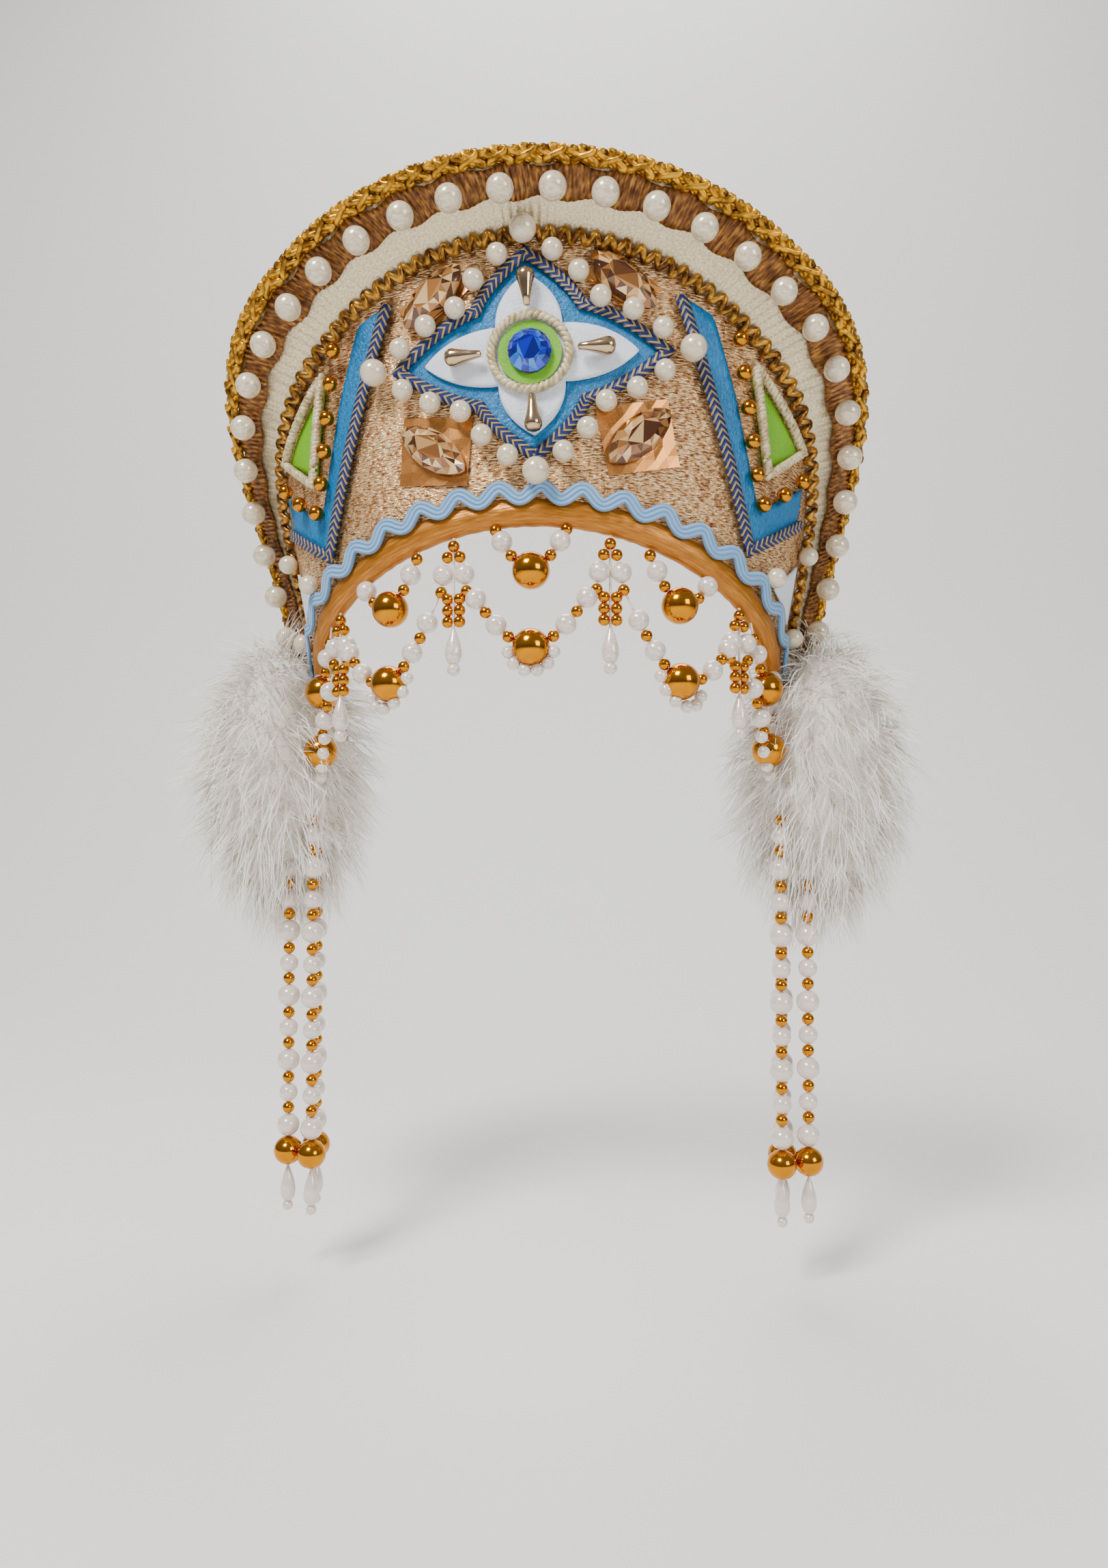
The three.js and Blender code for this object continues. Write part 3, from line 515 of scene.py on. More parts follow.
def petal_sheet(size, top, puff):
    half = quarter(size, 14)
    rows = [(-p.x, p.y) for p in half[:0:-1]] + [(p.x, p.y) for p in half]

    def place(s, t):
        u, high = rows[round(s * (len(rows) - 1))]
        swell = puff * min(1, high / 9) * (1 - (2 * t - 1) ** 4)
        return on_crest(*in_motif(u, (high + 0.3) * (2 * t - 1)), top + swell)

    return bent_grid(len(rows) - 1, 12, place)


def satin(name, colour, light):
    cloth = finish(name, colour, 0.42)
    crease_and_sheen = add_node(cloth, "ShaderNodeTexNoise", Scale=60, Detail=2, Distortion=0.8).outputs["Fac"]
    # The crease noise paints the colour lighter on the raised folds: a painted satin sheen over the cloth's
    # own colour.
    feed(cloth, "Base Color", ramp(cloth, crease_and_sheen, (0.3, colour), (0.75, light)))
    bump(cloth, crease_and_sheen, 0.35, 0.002)
    return cloth


turquoise = satin("turquoise_satin", "#00588A", "#007FBA")
white = satin("white_satin", "#D3DAE8", "#EEF1F8")
backing = as_mesh("motif_satin", petal_sheet(BACKING, 1.5, 0))
thicken(show("motif_satin", backing, turquoise, "turquoise_satin", "motif_backing"), 1)
petals = as_mesh("motif_white", petal_sheet(PETALS, 2.8, 0.5))
thicken(show("motif_white", petals, white, "white_satin", "motif_petals"), 1)


# A lime satin disc in a ring of twisted cord carries the blue cut stone at the motif's middle.
# The cord is two cream strands laid round each other.
PETAL_TOP = 2.8
DISC_SEAT = PETAL_TOP + 0.6
DISC_RADIUS = 11.6
RING_RADIUS = 13.6
RING_TUBE = 1.6


def seat(u, v, w, turn=0.0):
    centre = on_crest(u, v, w)
    right = (on_crest(u + 0.1, v, w) - centre).normalized()
    up = (on_crest(u, v + 0.1, w) - centre).normalized()
    basis = Matrix((right, up, right.cross(up))).transposed().to_4x4()
    return Matrix.Translation(centre) @ basis @ Matrix.Rotation(math.radians(turn), 4, "Z")


def twisted(name, line, twists, height, material, *nodes, cyclic=False):
    steps = twists * 10
    strands = []
    for start in (0, math.pi):
        points = []
        for i in range(steps + (0 if cyclic else 1)):
            u, v, side_u, side_v = line(i / steps)
            turn = start + 2 * math.pi * i / 10
            off = 0.8 * math.cos(turn)
            points.append(on_crest(u + side_u * off, v + side_v * off, height + 0.8 * math.sin(turn)))
        strands.append(points)
    return show(name, cord_curve(name, strands, 0.95, cyclic), material, "twisted_cord", *nodes)


def ring_line(s):
    c, q = math.cos(2 * math.pi * s), math.sin(2 * math.pi * s)
    u, v = in_motif(RING_RADIUS * c, RING_RADIUS * q)
    return u, v, c, q


lime = satin("lime_satin", "#5FA000", "#7EC400")
disc = bmesh.new()
bmesh.ops.create_cone(
    disc, cap_ends=True, segments=48, radius1=DISC_RADIUS / 1000, radius2=DISC_RADIUS / 1000, depth=0.001,
    matrix=seat(*in_motif(0, 0), DISC_SEAT + 0.5),
)
show("lime_disc", as_mesh("lime_disc", disc, smooth=False), lime, "lime_satin", "motif_disc")
cream_cord = finish("twisted_cord", "#CDBD96", 0.5, 0.3)
fibre = add_node(cream_cord, "ShaderNodeTexNoise", Scale=700, Detail=1).outputs["Fac"]
feed(cream_cord, "Base Color", ramp(cream_cord, fibre, (0.3, "#AE9A6C"), (0.6, "#DCCDA6")))
twisted("ring_cord", ring_line, 20, DISC_SEAT + RING_TUBE, cream_cord, "motif_cord", cyclic=True)


# The stones are faceted glass with foiled backs; each facet has a painted reflection, dark, mid or bright,
# picked at random from its normal: a blue round one here, and pointed champagne ones round the motif.
def cut_stone(length, width, squeeze, levels, matrix):
    bm = bmesh.new()
    made = bmesh.ops.create_circle(bm, cap_ends=True, segments=16, radius=1)
    face = bm.faces[:][0]
    if face.normal.z < 0:
        face.normal_flip()
    size, height = 1.0, 0.0
    for share, level in levels:
        lifted = bmesh.ops.extrude_face_region(bm, geom=[face])
        verts = [g for g in lifted["geom"] if isinstance(g, bmesh.types.BMVert)]
        face = next(g for g in lifted["geom"] if isinstance(g, bmesh.types.BMFace))
        bmesh.ops.scale(bm, vec=(share / size, share / size, 1), verts=verts)
        bmesh.ops.translate(bm, vec=(0, 0, level - height), verts=verts)
        size, height = share, level
    for vert in bm.verts:
        r = math.hypot(vert.co.x, vert.co.y)
        a = math.atan2(vert.co.y, vert.co.x)
        across = math.copysign(abs(math.sin(a)) ** squeeze, math.sin(a))
        vert.co = Vector((r * length * math.cos(a) / 2, r * width * across / 2, vert.co.z)) / 1000
    bmesh.ops.triangulate(bm, faces=[f for f in bm.faces if len(f.verts) == 4])
    bmesh.ops.recalc_face_normals(bm, faces=bm.faces)
    bmesh.ops.transform(bm, matrix=matrix, verts=bm.verts)
    return bm


def glass(name, deep, clear, light):
    stone = finish(name, clear, 0.06, 0.35, Coat_Weight=0.5, Coat_Roughness=0.02, IOR=1.65)
    facing = add_node(stone, "ShaderNodeNewGeometry").outputs["True Normal"]
    facet_reflection = add_node(
        stone, "ShaderNodeTexWhiteNoise", {"noise_dimensions": "3D"}, Vector=facing
    ).outputs["Value"]
    # Each facet's colour is a painted reflection: the deep stop painted dark, the light stop a painted
    # highlight.
    feed(stone, "Base Color", ramp(stone, facet_reflection, (0.2, deep), (0.6, clear), (0.95, light)))
    return stone


blue_glass = glass("blue_stone", "#020C78", "#0620D0", "#2A86E0")
ROUND_CUT = ((1, 1.6), (0.8, 3.3), (0.56, 4.6))
blue_cut = cut_stone(16, 16, 1, ROUND_CUT, seat(*in_motif(0, 0), DISC_SEAT + 1.3))
show("blue_stone", as_mesh("blue_stone", blue_cut, smooth=False), blue_glass, "blue_stone", "centre_stone")


# Four polished metal drops point outwards from the ring, one on each petal. They are cast beads
# with a warm plated finish, laid flat.
DROP_FROM = 15.8
DROP_PROFILE = (
    (0, 0), (1.2, 0.5), (1.7, 4), (2.6, 8), (3.3, 10.6), (3.2, 12), (2.4, 13.3), (1.2, 13.9), (0, 14)
)
DROP_FAT = 3.4


def turned(profile, steps, matrix):
    bm = bmesh.new()
    verts = [bm.verts.new((r / 1000, 0, z / 1000)) for r, z in profile]
    edges = [bm.edges.new(pair) for pair in zip(verts, verts[1:])]
    bmesh.ops.spin(bm, geom=verts + edges, cent=(0, 0, 0), axis=(0, 0, 1), angle=2 * math.pi, steps=steps)
    bmesh.ops.remove_doubles(bm, verts=bm.verts, dist=1e-6)
    bmesh.ops.recalc_face_normals(bm, faces=bm.faces)
    bmesh.ops.transform(bm, matrix=matrix, verts=bm.verts)
    return bm


def polished(name, colour, least, most):
    metal = finish(name, colour, 0.15, 1.0)
    wear = add_node(metal, "ShaderNodeTexNoise", Scale=260, Detail=3).outputs["Fac"]
    feed(metal, "Roughness", ramp(metal, wear, (0.4, least), (0.7, most)))
    return metal


warm_metal = polished("warm_metal", "#CDB08C", "#606060", "#8A8A8A")
BELLY = 11.2
for i, name in enumerate(("right", "top", "left", "bottom")):
    turn = math.pi / 2 * i
    reach = DROP_FROM + BELLY
    u, v = in_motif(reach * math.cos(turn), reach * math.sin(turn))
    lay = Matrix.Translation((-BELLY / 1000, 0, DROP_FAT / 1000)) @ Matrix.Rotation(math.pi / 2, 4, "Y")
    spot = seat(u, v, PETAL_TOP + 0.7, math.degrees(turn + MOTIF_TILT)) @ lay
    drop = as_mesh("drop_" + name, turned(DROP_PROFILE, 28, spot))
    show("drop_" + name, drop, warm_metal, "metal_drop", "metal_drop_" + name)


# Navy braid with slanting gold threads edges the motif and, further on, the side panels: a flat
# plait in two lanes that meet along its middle.
BRAID_WIDTH = 4.4
MITRE_LEAST = 0.7


def fine(points, step):
    out = [Vector(points[0])]
    for a, b in zip(points, points[1:]):
        a, b = Vector(a), Vector(b)
        count = max(1, math.ceil((b - a).length / step))
        out += [a.lerp(b, k / count) for k in range(1, count + 1)]
    return out


def sides_of(points, closed=False):
    sides = []
    last = len(points) - 1
    for i, p in enumerate(points):
        before = p - points[i - 1 if i or closed else 0]
        after = points[(i + 1) % (last + 1) if closed else min(i + 1, last)] - p
        mean = (before.normalized() + after.normalized()).normalized()
        square = after.normalized() if i == 0 and not closed else before.normalized()
        left = Vector((-mean.y, mean.x))
        sides.append(left / max(MITRE_LEAST, abs(left.dot(Vector((-square.y, square.x))))))
    return sides


def braid_mesh(points, place, top):
    sides = sides_of(points)
    last = len(points) - 1
    length = sum((b - a).length for a, b in zip(points, points[1:]))

    def at(s, t):
        i = round(s * last)
        p = points[i] + sides[i] * BRAID_WIDTH * (t - 0.5)
        return on_crest(*place(p.x, p.y), top - 0.5 * (2 * t - 1) ** 2)

    return bent_grid(last, 4, at, lambda s, t: (s * length / 10, t))


def outline(size, parts):
    first = quarter(size, parts)
    right = [Vector((p.x, -p.y)) for p in first[:-1]] + first[::-1]
    return right + [Vector((-p.x, p.y)) for p in right[-2::-1]]


PLAIT_STEP = 0.14
PLAIT_SLANT = 0.5
NAVY_SHARE = 0.66
navy = finish("navy_braid", "#123C82", 0.5, 0.1)
split = add_node(navy, "ShaderNodeSeparateXYZ", Vector=chart_of(navy, (1, 1, 1)))
lane = add_node(navy, "ShaderNodeMath", {"operation": "PINGPONG"}, n0=split.outputs["Y"], n1=0.5).outputs[0]
slant = add_node(
    navy, "ShaderNodeMath", {"operation": "MULTIPLY_ADD"}, n0=lane, n1=PLAIT_SLANT, n2=split.outputs["X"]
).outputs[0]
plait = add_node(navy, "ShaderNodeMath", {"operation": "PINGPONG"}, n0=slant, n1=PLAIT_STEP).outputs[0]
on_gold = add_node(
    navy, "ShaderNodeMath", {"operation": "GREATER_THAN"}, n0=plait, n1=PLAIT_STEP * NAVY_SHARE
).outputs[0]
feed(navy, "Base Color", ramp(navy, on_gold, (0.2, "#06215F"), (0.8, "#AE9050")))
bump(navy, plait, 0.7, 0.006)
edging = braid_mesh(outline(BACKING, 12), in_motif, 3.4)
thicken(show("motif_edging", as_mesh("motif_edging", edging), navy, "blue_braid", "motif_braid"), 1.4)


# Rows of pearls follow the motif outside its braid, with a larger one at each point, all of
# the same lacquered bead as on the rim.
PEARL_PATH = {"wide": 56, "tall": 44, "notch_u": 25, "notch_v": 19.2}
ROW_PEARL = 8.0
TIP_PEARL = 10.0
motif_row = []
for mirror_u in (1, -1):
    for mirror_v in (1, -1):
        line = [Vector((mirror_u * p.x, mirror_v * p.y, 0)) for p in quarter(PEARL_PATH, 16)]
        length = spaced(line, [0])[1]
        for p in spaced(line, [length * k / 6 for k in range(1, 6)])[0]:
            motif_row.append((on_crest(*in_motif(p.x, p.y), 0.8 + ROW_PEARL / 2), ROW_PEARL))
for u, v in ((56, 0), (-56, 0), (0, 44), (0, -44)):
    motif_row.append((on_crest(*in_motif(u, v), 2.2 + TIP_PEARL / 2), TIP_PEARL))
beads("motif_pearl_rows", motif_row, pearl, "pearl", "motif_pearls")


# Champagne stones lie on squares of crumpled foil in the four corners round the motif: copper
# coloured, creased in flat facets, with straight cut edges.
random.seed(7)
NAVETTE_CUT = ((1, 1.4), (0.8, 3.6), (0.5, 5.6))
FOIL_STEPS = 6
NAVETTES = (("upper", 34.5, 25.6, -41, -41, 24, 15), ("lower", 37.5, -31, 38, 8, 27, 25))
champagne = glass("champagne_stone", "#4E280C", "#B87A3C", "#F2CC90")
peach_foil = finish("peach_foil", "#D08A4A", 0.3, 0.8)
stain = add_node(peach_foil, "ShaderNodeTexNoise", Scale=120, Detail=3).outputs["Fac"]
copper = ramp(peach_foil, stain, (0.35, "#B0662A"), (0.55, "#D9924E"), (0.7, "#EDB56A"))
feed(peach_foil, "Base Color", copper)
for side, sign in (("left", -1), ("right", 1)):
    for name, place_u, place_v, lean, foil_lean, wide, tall in NAVETTES:
        u, v = in_motif(sign * place_u, place_v)
        turn = sign * lean + math.degrees(MOTIF_TILT)
        way = math.radians(sign * foil_lean) + MOTIF_TILT
        c, q = math.cos(way), math.sin(way)

        def crumple(s, t):
            inside = all(0 < round(way * FOIL_STEPS) < FOIL_STEPS for way in (s, t))
            x = (s - 0.5) * wide + random.uniform(-1, 1) * inside
            y = (t - 0.5) * tall + random.uniform(-1, 1) * inside
            return on_crest(u + x * c - y * q, v + x * q + y * c, random.uniform(0.5, 1.3))

        square = bent_grid(FOIL_STEPS, FOIL_STEPS, crumple)
        sheet = as_mesh(f"foil_square_{name}_{side}", square, smooth=False)
        foil = show(sheet.name, sheet, peach_foil, "foil", f"foil_{name}_{side}")
        thicken(foil, 0.2)
        stone = cut_stone(30, 14, 1.35, NAVETTE_CUT, seat(u, v, 1.9, turn))
        mesh = as_mesh(f"champagne_{name}_{side}", stone, smooth=False)
        show(mesh.name, mesh, champagne, "champagne_stone", f"navette_{name}_{side}")


# Side panels: a turquoise strip edged with braid, a lime triangle in twisted cord, gold beads,
# and a white satin corner with three pearls, the same on both halves.
PANEL = (
    (53.5, 84, 86), (59, 68.5, 83.5), (66, 49, 80), (76, 20.5, 52), (85.5, -6, 20), (89, -4, 11), (113, 11, 25)
)
PANEL_EDGE = ((53, 85.5), (85, -4.5), (114, 11))
TRIANGLE = ((82.5, 60, 62), (90, 26.5, 53.5), (105, 36.8, 38))
TRIANGLE_EDGE = ((89.2, 30), (90.3, 24.5), (107, 37.3), (82, 64), (88.6, 31.5))
GOLD_ROW = (
    (74.5, 72), (76.6, 60), (79.2, 47.5), (81.6, 35.5), (84.2, 23.5), (88, 13), (97.5, 18.5), (107, 26)
)
CORNER = ((103, -16.6, -15.4), (121, -27.5, -4))
CORNER_PEARLS = (("upper", 125, 1), ("inner", 98.5, -13), ("lower", 125.5, -32.5))
CORNER_PEARL = 8.0
GOLD_BEAD = 6.0


def section_sheet(sections, sign, top):
    columns = np.linspace(sections[0][0], sections[-1][0], 41)
    lows = np.interp(columns, [r[0] for r in sections], [r[1] for r in sections])
    highs = np.interp(columns, [r[0] for r in sections], [r[2] for r in sections])

    def at(s, t):
        i = round((s if sign > 0 else 1 - s) * 40)
        return on_crest(sign * columns[i], lows[i] + (highs[i] - lows[i]) * t, top)

    return bent_grid(40, 6, at)


def cord_line(points):
    path = fine(points, 1.0)
    sides = sides_of(path)

    def line(s):
        i = min(len(path) - 1, round(s * (len(path) - 1)))
        return path[i].x, path[i].y, sides[i].x, sides[i].y

    return line


bead_gold = polished("gold_bead", "#C98208", "#606060", "#808080")
for side, sign in (("left", -1), ("right", 1)):

    def half(points):
        return [(sign * p[0], p[1]) for p in points]

    strip = as_mesh("panel_satin_" + side, section_sheet(PANEL, sign, 1.5))
    thicken(show(strip.name, strip, turquoise, "turquoise_satin", "side_panel_" + side), 1)
    edge = braid_mesh(fine(half(PANEL_EDGE), 2.5), lambda u, v: (u, v), 3.4)
    edge = as_mesh("panel_edging_" + side, edge)
    thicken(show(edge.name, edge, navy, "blue_braid", "panel_braid_" + side), 1.4)
    lime_part = as_mesh("lime_triangle_" + side, section_sheet(TRIANGLE, sign, 1.5))
    thicken(show(lime_part.name, lime_part, lime, "lime_satin", "side_triangle_" + side), 1)
    around = cord_line(half(TRIANGLE_EDGE))
    twisted("triangle_twist_" + side, around, 32, 3.2, cream_cord, "triangle_cord_" + side)
    row = [(on_crest(u, v, 1.6 + GOLD_BEAD / 2), GOLD_BEAD) for u, v in half(GOLD_ROW)]
    beads("gold_row_" + side, row, bead_gold, "gold_bead", "side_beads_" + side)
    satin_part = as_mesh("white_corner_" + side, section_sheet(CORNER, sign, 1.5))
    thicken(show(satin_part.name, satin_part, white, "white_satin", "corner_triangle_" + side), 1)
    for name, u, v in CORNER_PEARLS:
        spot = [(on_crest(sign * u, v, 0.3 + CORNER_PEARL / 2), CORNER_PEARL)]
        beads(f"pearl_{name}_{side}", spot, pearl, "pearl", f"corner_pearl_{name}_{side}")


# The forehead net hangs from the binding: swags of pearls and gold beads between four columns,
# strung on white thread, with a teardrop under each column.
NET_COLUMNS = (-84, -29, 29, 84)
NET_SWAGS = (-104, -56, 0, 56, 104)
UPPER_HALF = 13
UPPER_DROP = 16
LOWER_SWAGS = (
    (-126, 4, -84, 24, 37),
    (-84, 24, -29, 24, 44),
    (-29, 24, 29, 24, 44),
    (29, 24, 84, 24, 44),
    (84, 24, 126, 4, 37),
)
PEARL, GOLD, BIG, TINY = 8, 4.5, 14, 5
UPPER_BEADS = (GOLD, PEARL, GOLD)
LOWER_BEADS = (GOLD, PEARL, GOLD, PEARL)
COLUMN_ROWS = (
    (0, 3, GOLD),
    (2.4, 7, GOLD),
    (4.1, 13.4, PEARL),
    (5, 19.8, GOLD),
    (2.3, 22.5, GOLD),
    (2.3, 26.7, GOLD),
    (2.3, 30.9, GOLD),
)
TEAR_FROM = 32.5
TEAR = (8.0, 14.5)
COLUMN_HALF = 6.0
SAG_STEPS = 30
SAG_BEND = 1.7
net_pearls, net_gold, net_lines, net_tears = [], [], [], []
net_rose = nacre("net_pearl", "#D2BFAE", "#F0E4DA")


def hung(u, drop):
    top = on_crest(u, -u * u / BROW_FLATNESS, 0)
    return top - Vector((0, 0, (0.3 + drop) / 1000))


def put(centre, diameter):
    (net_pearls if diameter in (PEARL, TINY) else net_gold).append((centre, diameter))


def swag(start, start_drop, end, end_drop, drop, row):
    middle = (start + end) / 2
    put(hung(middle, drop), BIG)
    for far, far_drop in ((start, start_drop), (end, end_drop)):
        shares = [k / SAG_STEPS for k in range(SAG_STEPS + 1)]
        sag = [
            hung(middle + (far - middle) * part, drop + (far_drop - drop) * part**SAG_BEND)
            for part in shares
        ]
        net_lines.append(sag)
        way = BIG / 2000
        for diameter in row:
            way += diameter / 2000
            put(spaced(sag, [way])[0][0], diameter)
            way += diameter / 2000


for u in NET_COLUMNS:
    for half, fall, diameter in COLUMN_ROWS:
        for step in {-half, half}:
            put(hung(u + step, fall) + Vector((0, 0, hung(u, 0).z - hung(u + step, 0).z)), diameter)
    net_tears.append((hung(u, TEAR_FROM), *TEAR))
    net_lines.append([hung(u, 0), hung(u, TEAR_FROM + TEAR[1])])
    put(hung(u, TEAR_FROM + TEAR[1] + 1.5), TINY)
for u in NET_SWAGS:
    swag(u - UPPER_HALF, 0.5, u + UPPER_HALF, 0.5, UPPER_DROP, UPPER_BEADS)
for start, start_drop, end, end_drop, drop in LOWER_SWAGS:
    first = start + (COLUMN_HALF if start_drop > UPPER_DROP else 0)
    last = end - (COLUMN_HALF if end_drop > UPPER_DROP else 0)
    swag(first, start_drop - 4, last, end_drop - 4, drop, LOWER_BEADS)
    middle = (first + last) / 2
    for k in range(6):
        a = math.pi * (k - 2.5) / 5.6
        put(hung(middle + 8.4 * math.sin(a), drop + 8.6 * math.cos(a)), TINY)


def with_tears(name, round_beads, tears, material, slot, *nodes):
    bm = bmesh.new()
    for centre, diameter in round_beads:
        bmesh.ops.create_icosphere(
            bm, subdivisions=3, radius=diameter / 2000, matrix=Matrix.Translation(centre)
        )
    for top, diameter, length in tears:
        made = bmesh.ops.create_uvsphere(bm, u_segments=20, v_segments=14, radius=1)["verts"]
        for vert in made:
            belly = 0.16 + 0.92 * ((1 - vert.co.z) / 2) ** 0.75
            radius = diameter / 2000 * belly
            across = Vector((vert.co.x * radius, vert.co.y * radius, 0))
            vert.co = top + across + Vector((0, 0, (vert.co.z - 1) * length / 2000))
    return show(name, as_mesh(name, bm), material, slot, *nodes)


with_tears("net_pearl_beads", net_pearls, net_tears, net_rose, "pearl", "forehead_net")
beads("net_gold_beads", net_gold, bead_gold, "gold_bead")
thread = finish("thread", "#E9E2D2", 0.7)
spun = add_node(thread, "ShaderNodeTexNoise", Scale=900, Detail=1).outputs["Fac"]
feed(thread, "Base Color", ramp(thread, spun, (0.35, "#CFC4AE"), (0.6, "#F0EADC")))
THREAD = 0.5
show("net_threads", cord_curve("net_threads", net_lines, THREAD), thread, "pearl")


# Three strands hang out of each ear puff: pearls with gold beads between, a gold ball and a drop,
# on the same thread as the net.
STRAND_TOP = -105.0
STRANDS = (("outer", 108.5, -26), ("inner", 97, -31), ("rear", 99, -17.5))
STRAND_GOLD, STRAND_SMALL, STRAND_LARGE, STRAND_BALL = 5.0, 7.8, 9.4, 12.0
STRAND_DROP = (8.0, 16.0)
for side, sign in (("left", -1), ("right", 1)):
    strand_gold, strand_lines = [], []
    for name, x, y in STRANDS:
        level = STRAND_TOP
        strand_pearls = []
        for diameter in (STRAND_GOLD, STRAND_SMALL, STRAND_GOLD, STRAND_LARGE) * 5 + (STRAND_BALL,):
            centre = Vector((sign * x, y, level - diameter / 2)) / 1000
            gold = diameter in (STRAND_GOLD, STRAND_BALL)
            (strand_gold if gold else strand_pearls).append((centre, diameter))
            level -= diameter
        tear = (Vector((sign * x, y, level + 0.5)) / 1000, *STRAND_DROP)
        strand_pearls.append((Vector((sign * x, y, level - STRAND_DROP[1] - 1)) / 1000, 4.4))
        strand_lines.append([Vector((sign * x, y, z)) / 1000 for z in (STRAND_TOP, level)])
        string = f"strand_pearls_{name}_{side}"
        with_tears(string, strand_pearls, [tear], net_rose, "pearl", f"strand_{name}_{side}")
    beads("strand_gold_" + side, strand_gold, bead_gold, "gold_bead")
    hanging = cord_curve("strand_threads_" + side, strand_lines, THREAD)
    show("strand_threads_" + side, hanging, thread, "pearl")


# The ear puffs are white fur with a long pile that parts into soft locks and hangs down, sewn
# over a padded ball at each end of the crest.
FUR = {"x": 117, "y": -8, "z": -88, "wide": 27, "deep": 34, "tall": 53}
LOCKS = 300
HAIRS = 16
HAIR_STEPS = 5
HAIR_WIDTH = 0.55
PILE = 19.0
fur_cloth = finish("fur_pad", "#E4DED2", 0.95)
down = add_node(fur_cloth, "ShaderNodeTexNoise", Scale=160, Detail=3).outputs["Fac"]
feed(fur_cloth, "Base Color", ramp(fur_cloth, down, (0.35, "#CFC6B6"), (0.65, "#F2EDE4")))
fur_pile = finish("fur_pile", "#E8E4DA", 0.75, 0, Sheen_Weight=0.3)
along_hair = add_node(fur_pile, "ShaderNodeSeparateXYZ", Vector=chart_of(fur_pile, (1, 1, 1))).outputs["Y"]
shaded = ramp(fur_pile, along_hair, (0, "#BDB3A2"), (0.3, "#EFEAE0"), (0.8, "#FFFDF8"))
feed(fur_pile, "Base Color", shaded)
golden_turn = math.pi * (3 - math.sqrt(5))
for side, sign in (("left", -1), ("right", 1)):
    rng = np.random.default_rng(11 + sign)
    pad = bmesh.new()
    spot = Matrix.Translation((sign * FUR["x"] / 1000, FUR["y"] / 1000, FUR["z"] / 1000))
    spot = spot @ Matrix.Diagonal((FUR["wide"] / 1000, FUR["deep"] / 1000, FUR["tall"] / 1000, 1))
    bmesh.ops.create_icosphere(pad, subdivisions=4, radius=1, matrix=spot)
    body = show("fur_pad_" + side, as_mesh("fur_pad_" + side, pad), fur_cloth, "fur", "fur_" + side)
    verts, faces, shades = [], [], []
    for i in range(LOCKS):
        z = 1 - (2 * i + 1) / LOCKS
        a = i * golden_turn
        out = np.array([math.cos(a) * math.sqrt(1 - z * z), math.sin(a) * math.sqrt(1 - z * z), z])
        way = out + np.array([0, 0, -0.75]) + rng.normal(0, 0.22, 3)
        way /= np.linalg.norm(way)
        reach = PILE * rng.uniform(0.75, 1.2)
        centre = np.array([sign * FUR["x"], FUR["y"], FUR["z"]])
        root = centre + out * np.array([FUR["wide"], FUR["deep"], FUR["tall"]])
        tip = root + way * reach + np.array([0, 0, -3.0])
        for _ in range(HAIRS):
            start = root + rng.normal(0, 3.2, 3)
            end = tip + rng.normal(0, 2.6, 3)
            bow = (start + end) / 2 + out * rng.uniform(1, 5) + rng.normal(0, 1.0, 3)
            flat = np.cross(end - start, rng.normal(0, 1, 3))
            flat *= HAIR_WIDTH / 2 / (np.linalg.norm(flat) + 1e-9)
            first = len(verts)
            for k in range(HAIR_STEPS + 1):
                t = k / HAIR_STEPS
                p = start * (1 - t) ** 2 + bow * 2 * t * (1 - t) + end * t * t
                thin = flat * (1 - 0.9 * t)
                verts += [tuple((p - thin) / 1000), tuple((p + thin) / 1000)]
                shades += [t, t]
            for k in range(first, first + 2 * HAIR_STEPS, 2):
                faces.append((k, k + 1, k + 3, k + 2))
    pile = bpy.data.meshes.new("fur_pile_" + side)
    pile.from_pydata(verts, [], faces)
    layer = pile.uv_layers.new(name="chart")
    for loop in pile.loops:
        layer.data[loop.index].uv = (0.5, shades[loop.vertex_index])
    pile.shade_smooth()
    show("fur_pile_" + side, pile, fur_pile, "fur")


# A pale sweep of paper stands under and behind, with soft light and the photograph's viewpoint.
FLOOR = -0.3
SWEEP = 0.5
WALL = 0.9


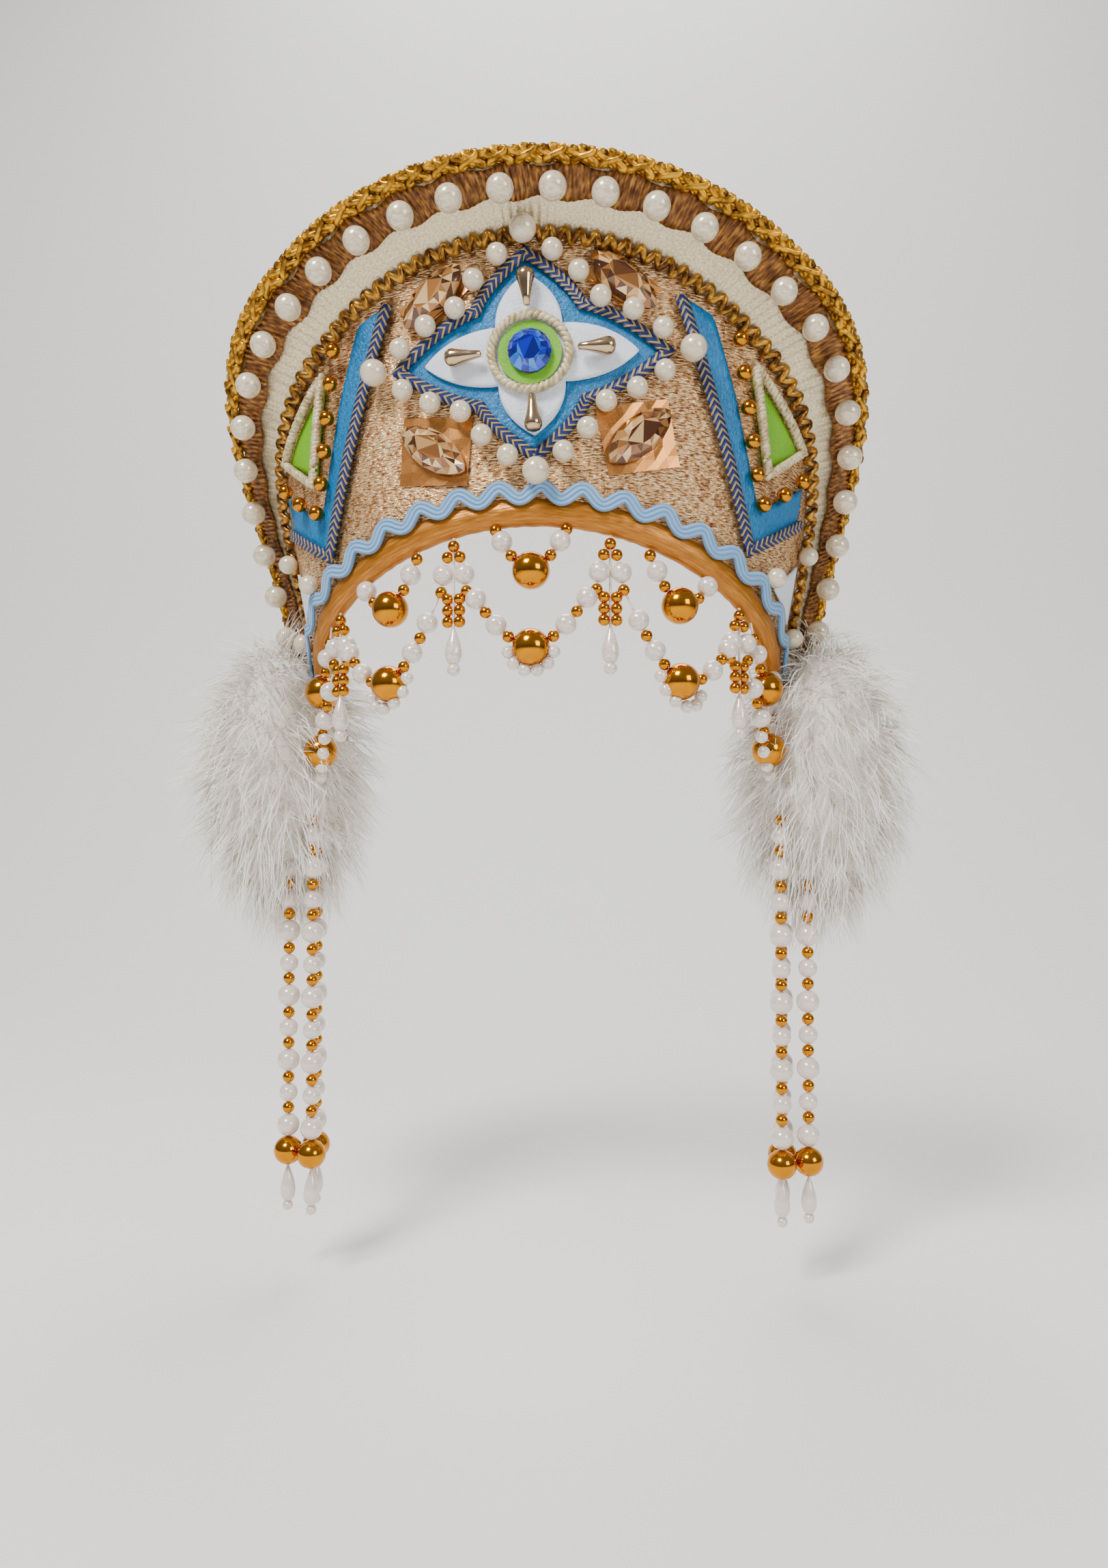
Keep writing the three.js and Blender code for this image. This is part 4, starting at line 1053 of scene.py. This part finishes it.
def paper(s, t):
    way = t * 4.0 - 1.6
    if way < WALL - SWEEP:
        y, z = way, 0.0
    elif way < WALL - SWEEP + SWEEP * math.pi / 2:
        turn = (way - WALL + SWEEP) / SWEEP
        y, z = WALL - SWEEP + SWEEP * math.sin(turn), SWEEP * (1 - math.cos(turn))
    else:
        y, z = WALL, SWEEP + way - (WALL - SWEEP + SWEEP * math.pi / 2)
    return Vector(((s - 0.5) * 5, y, FLOOR + z))


ground_paper = bpy.data.objects.new("paper_sweep", as_mesh("paper_sweep", bent_grid(4, 80, paper)))
ground_paper.data.materials.append(finish("paper", "#F3F1EE", 0.9))
bpy.context.scene.collection.objects.link(ground_paper)
world = bpy.data.worlds.new("studio")
world.use_nodes = True
facing = add_node(world, "ShaderNodeTexCoord").outputs["Generated"]
rise = add_node(world, "ShaderNodeSeparateXYZ", Vector=facing).outputs["Z"]
level = add_node(world, "ShaderNodeMath", {"operation": "MULTIPLY_ADD"}, n0=rise, n1=0.5, n2=0.5).outputs[0]
sky = ramp(world, level, (0.35, "#7A7874"), (0.5, "#A8A8AA"), (0.62, "#E4E8EE"), (0.95, "#FFFFFF"))
back_light = world.node_tree.nodes["Background"]
world.node_tree.links.new(sky, back_light.inputs["Color"])
back_light.inputs["Strength"].default_value = 0.36
bpy.context.scene.world = world
LAMPS = (
    ("key", (-0.5, -0.9, 1.0), 27, 0.4),
    ("fill", (0.9, -0.9, 0.3), 6, 0.5),
    ("back", (0.0, 0.5, 1.3), 14, 0.9),
)
for name, place, watts, size in LAMPS:
    lamp = bpy.data.lights.new(name, "AREA")
    lamp.energy = watts
    lamp.size = size
    obj = bpy.data.objects.new(name, lamp)
    obj.location = place
    obj.rotation_euler = (Vector((0, -0.05, -0.05)) - Vector(place)).to_track_quat("-Z", "Y").to_euler()
    bpy.context.scene.collection.objects.link(obj)
YAW = math.radians(4)
PITCH = math.radians(-1.3)
PHOTO_FOCUS, PHOTO_HEIGHT, SENSOR = 1600, 2296, 36
camera = bpy.data.cameras.new("photo_view")
camera.sensor_width = SENSOR
camera.lens = SENSOR * PHOTO_FOCUS / PHOTO_HEIGHT
viewer = bpy.data.objects.new("photo_view", camera)
viewer.location = (0.036, -0.482, -0.103)
viewer.rotation_euler = (math.pi / 2 - PITCH, 0, YAW)
bpy.context.scene.collection.objects.link(viewer)
bpy.context.scene.camera = viewer
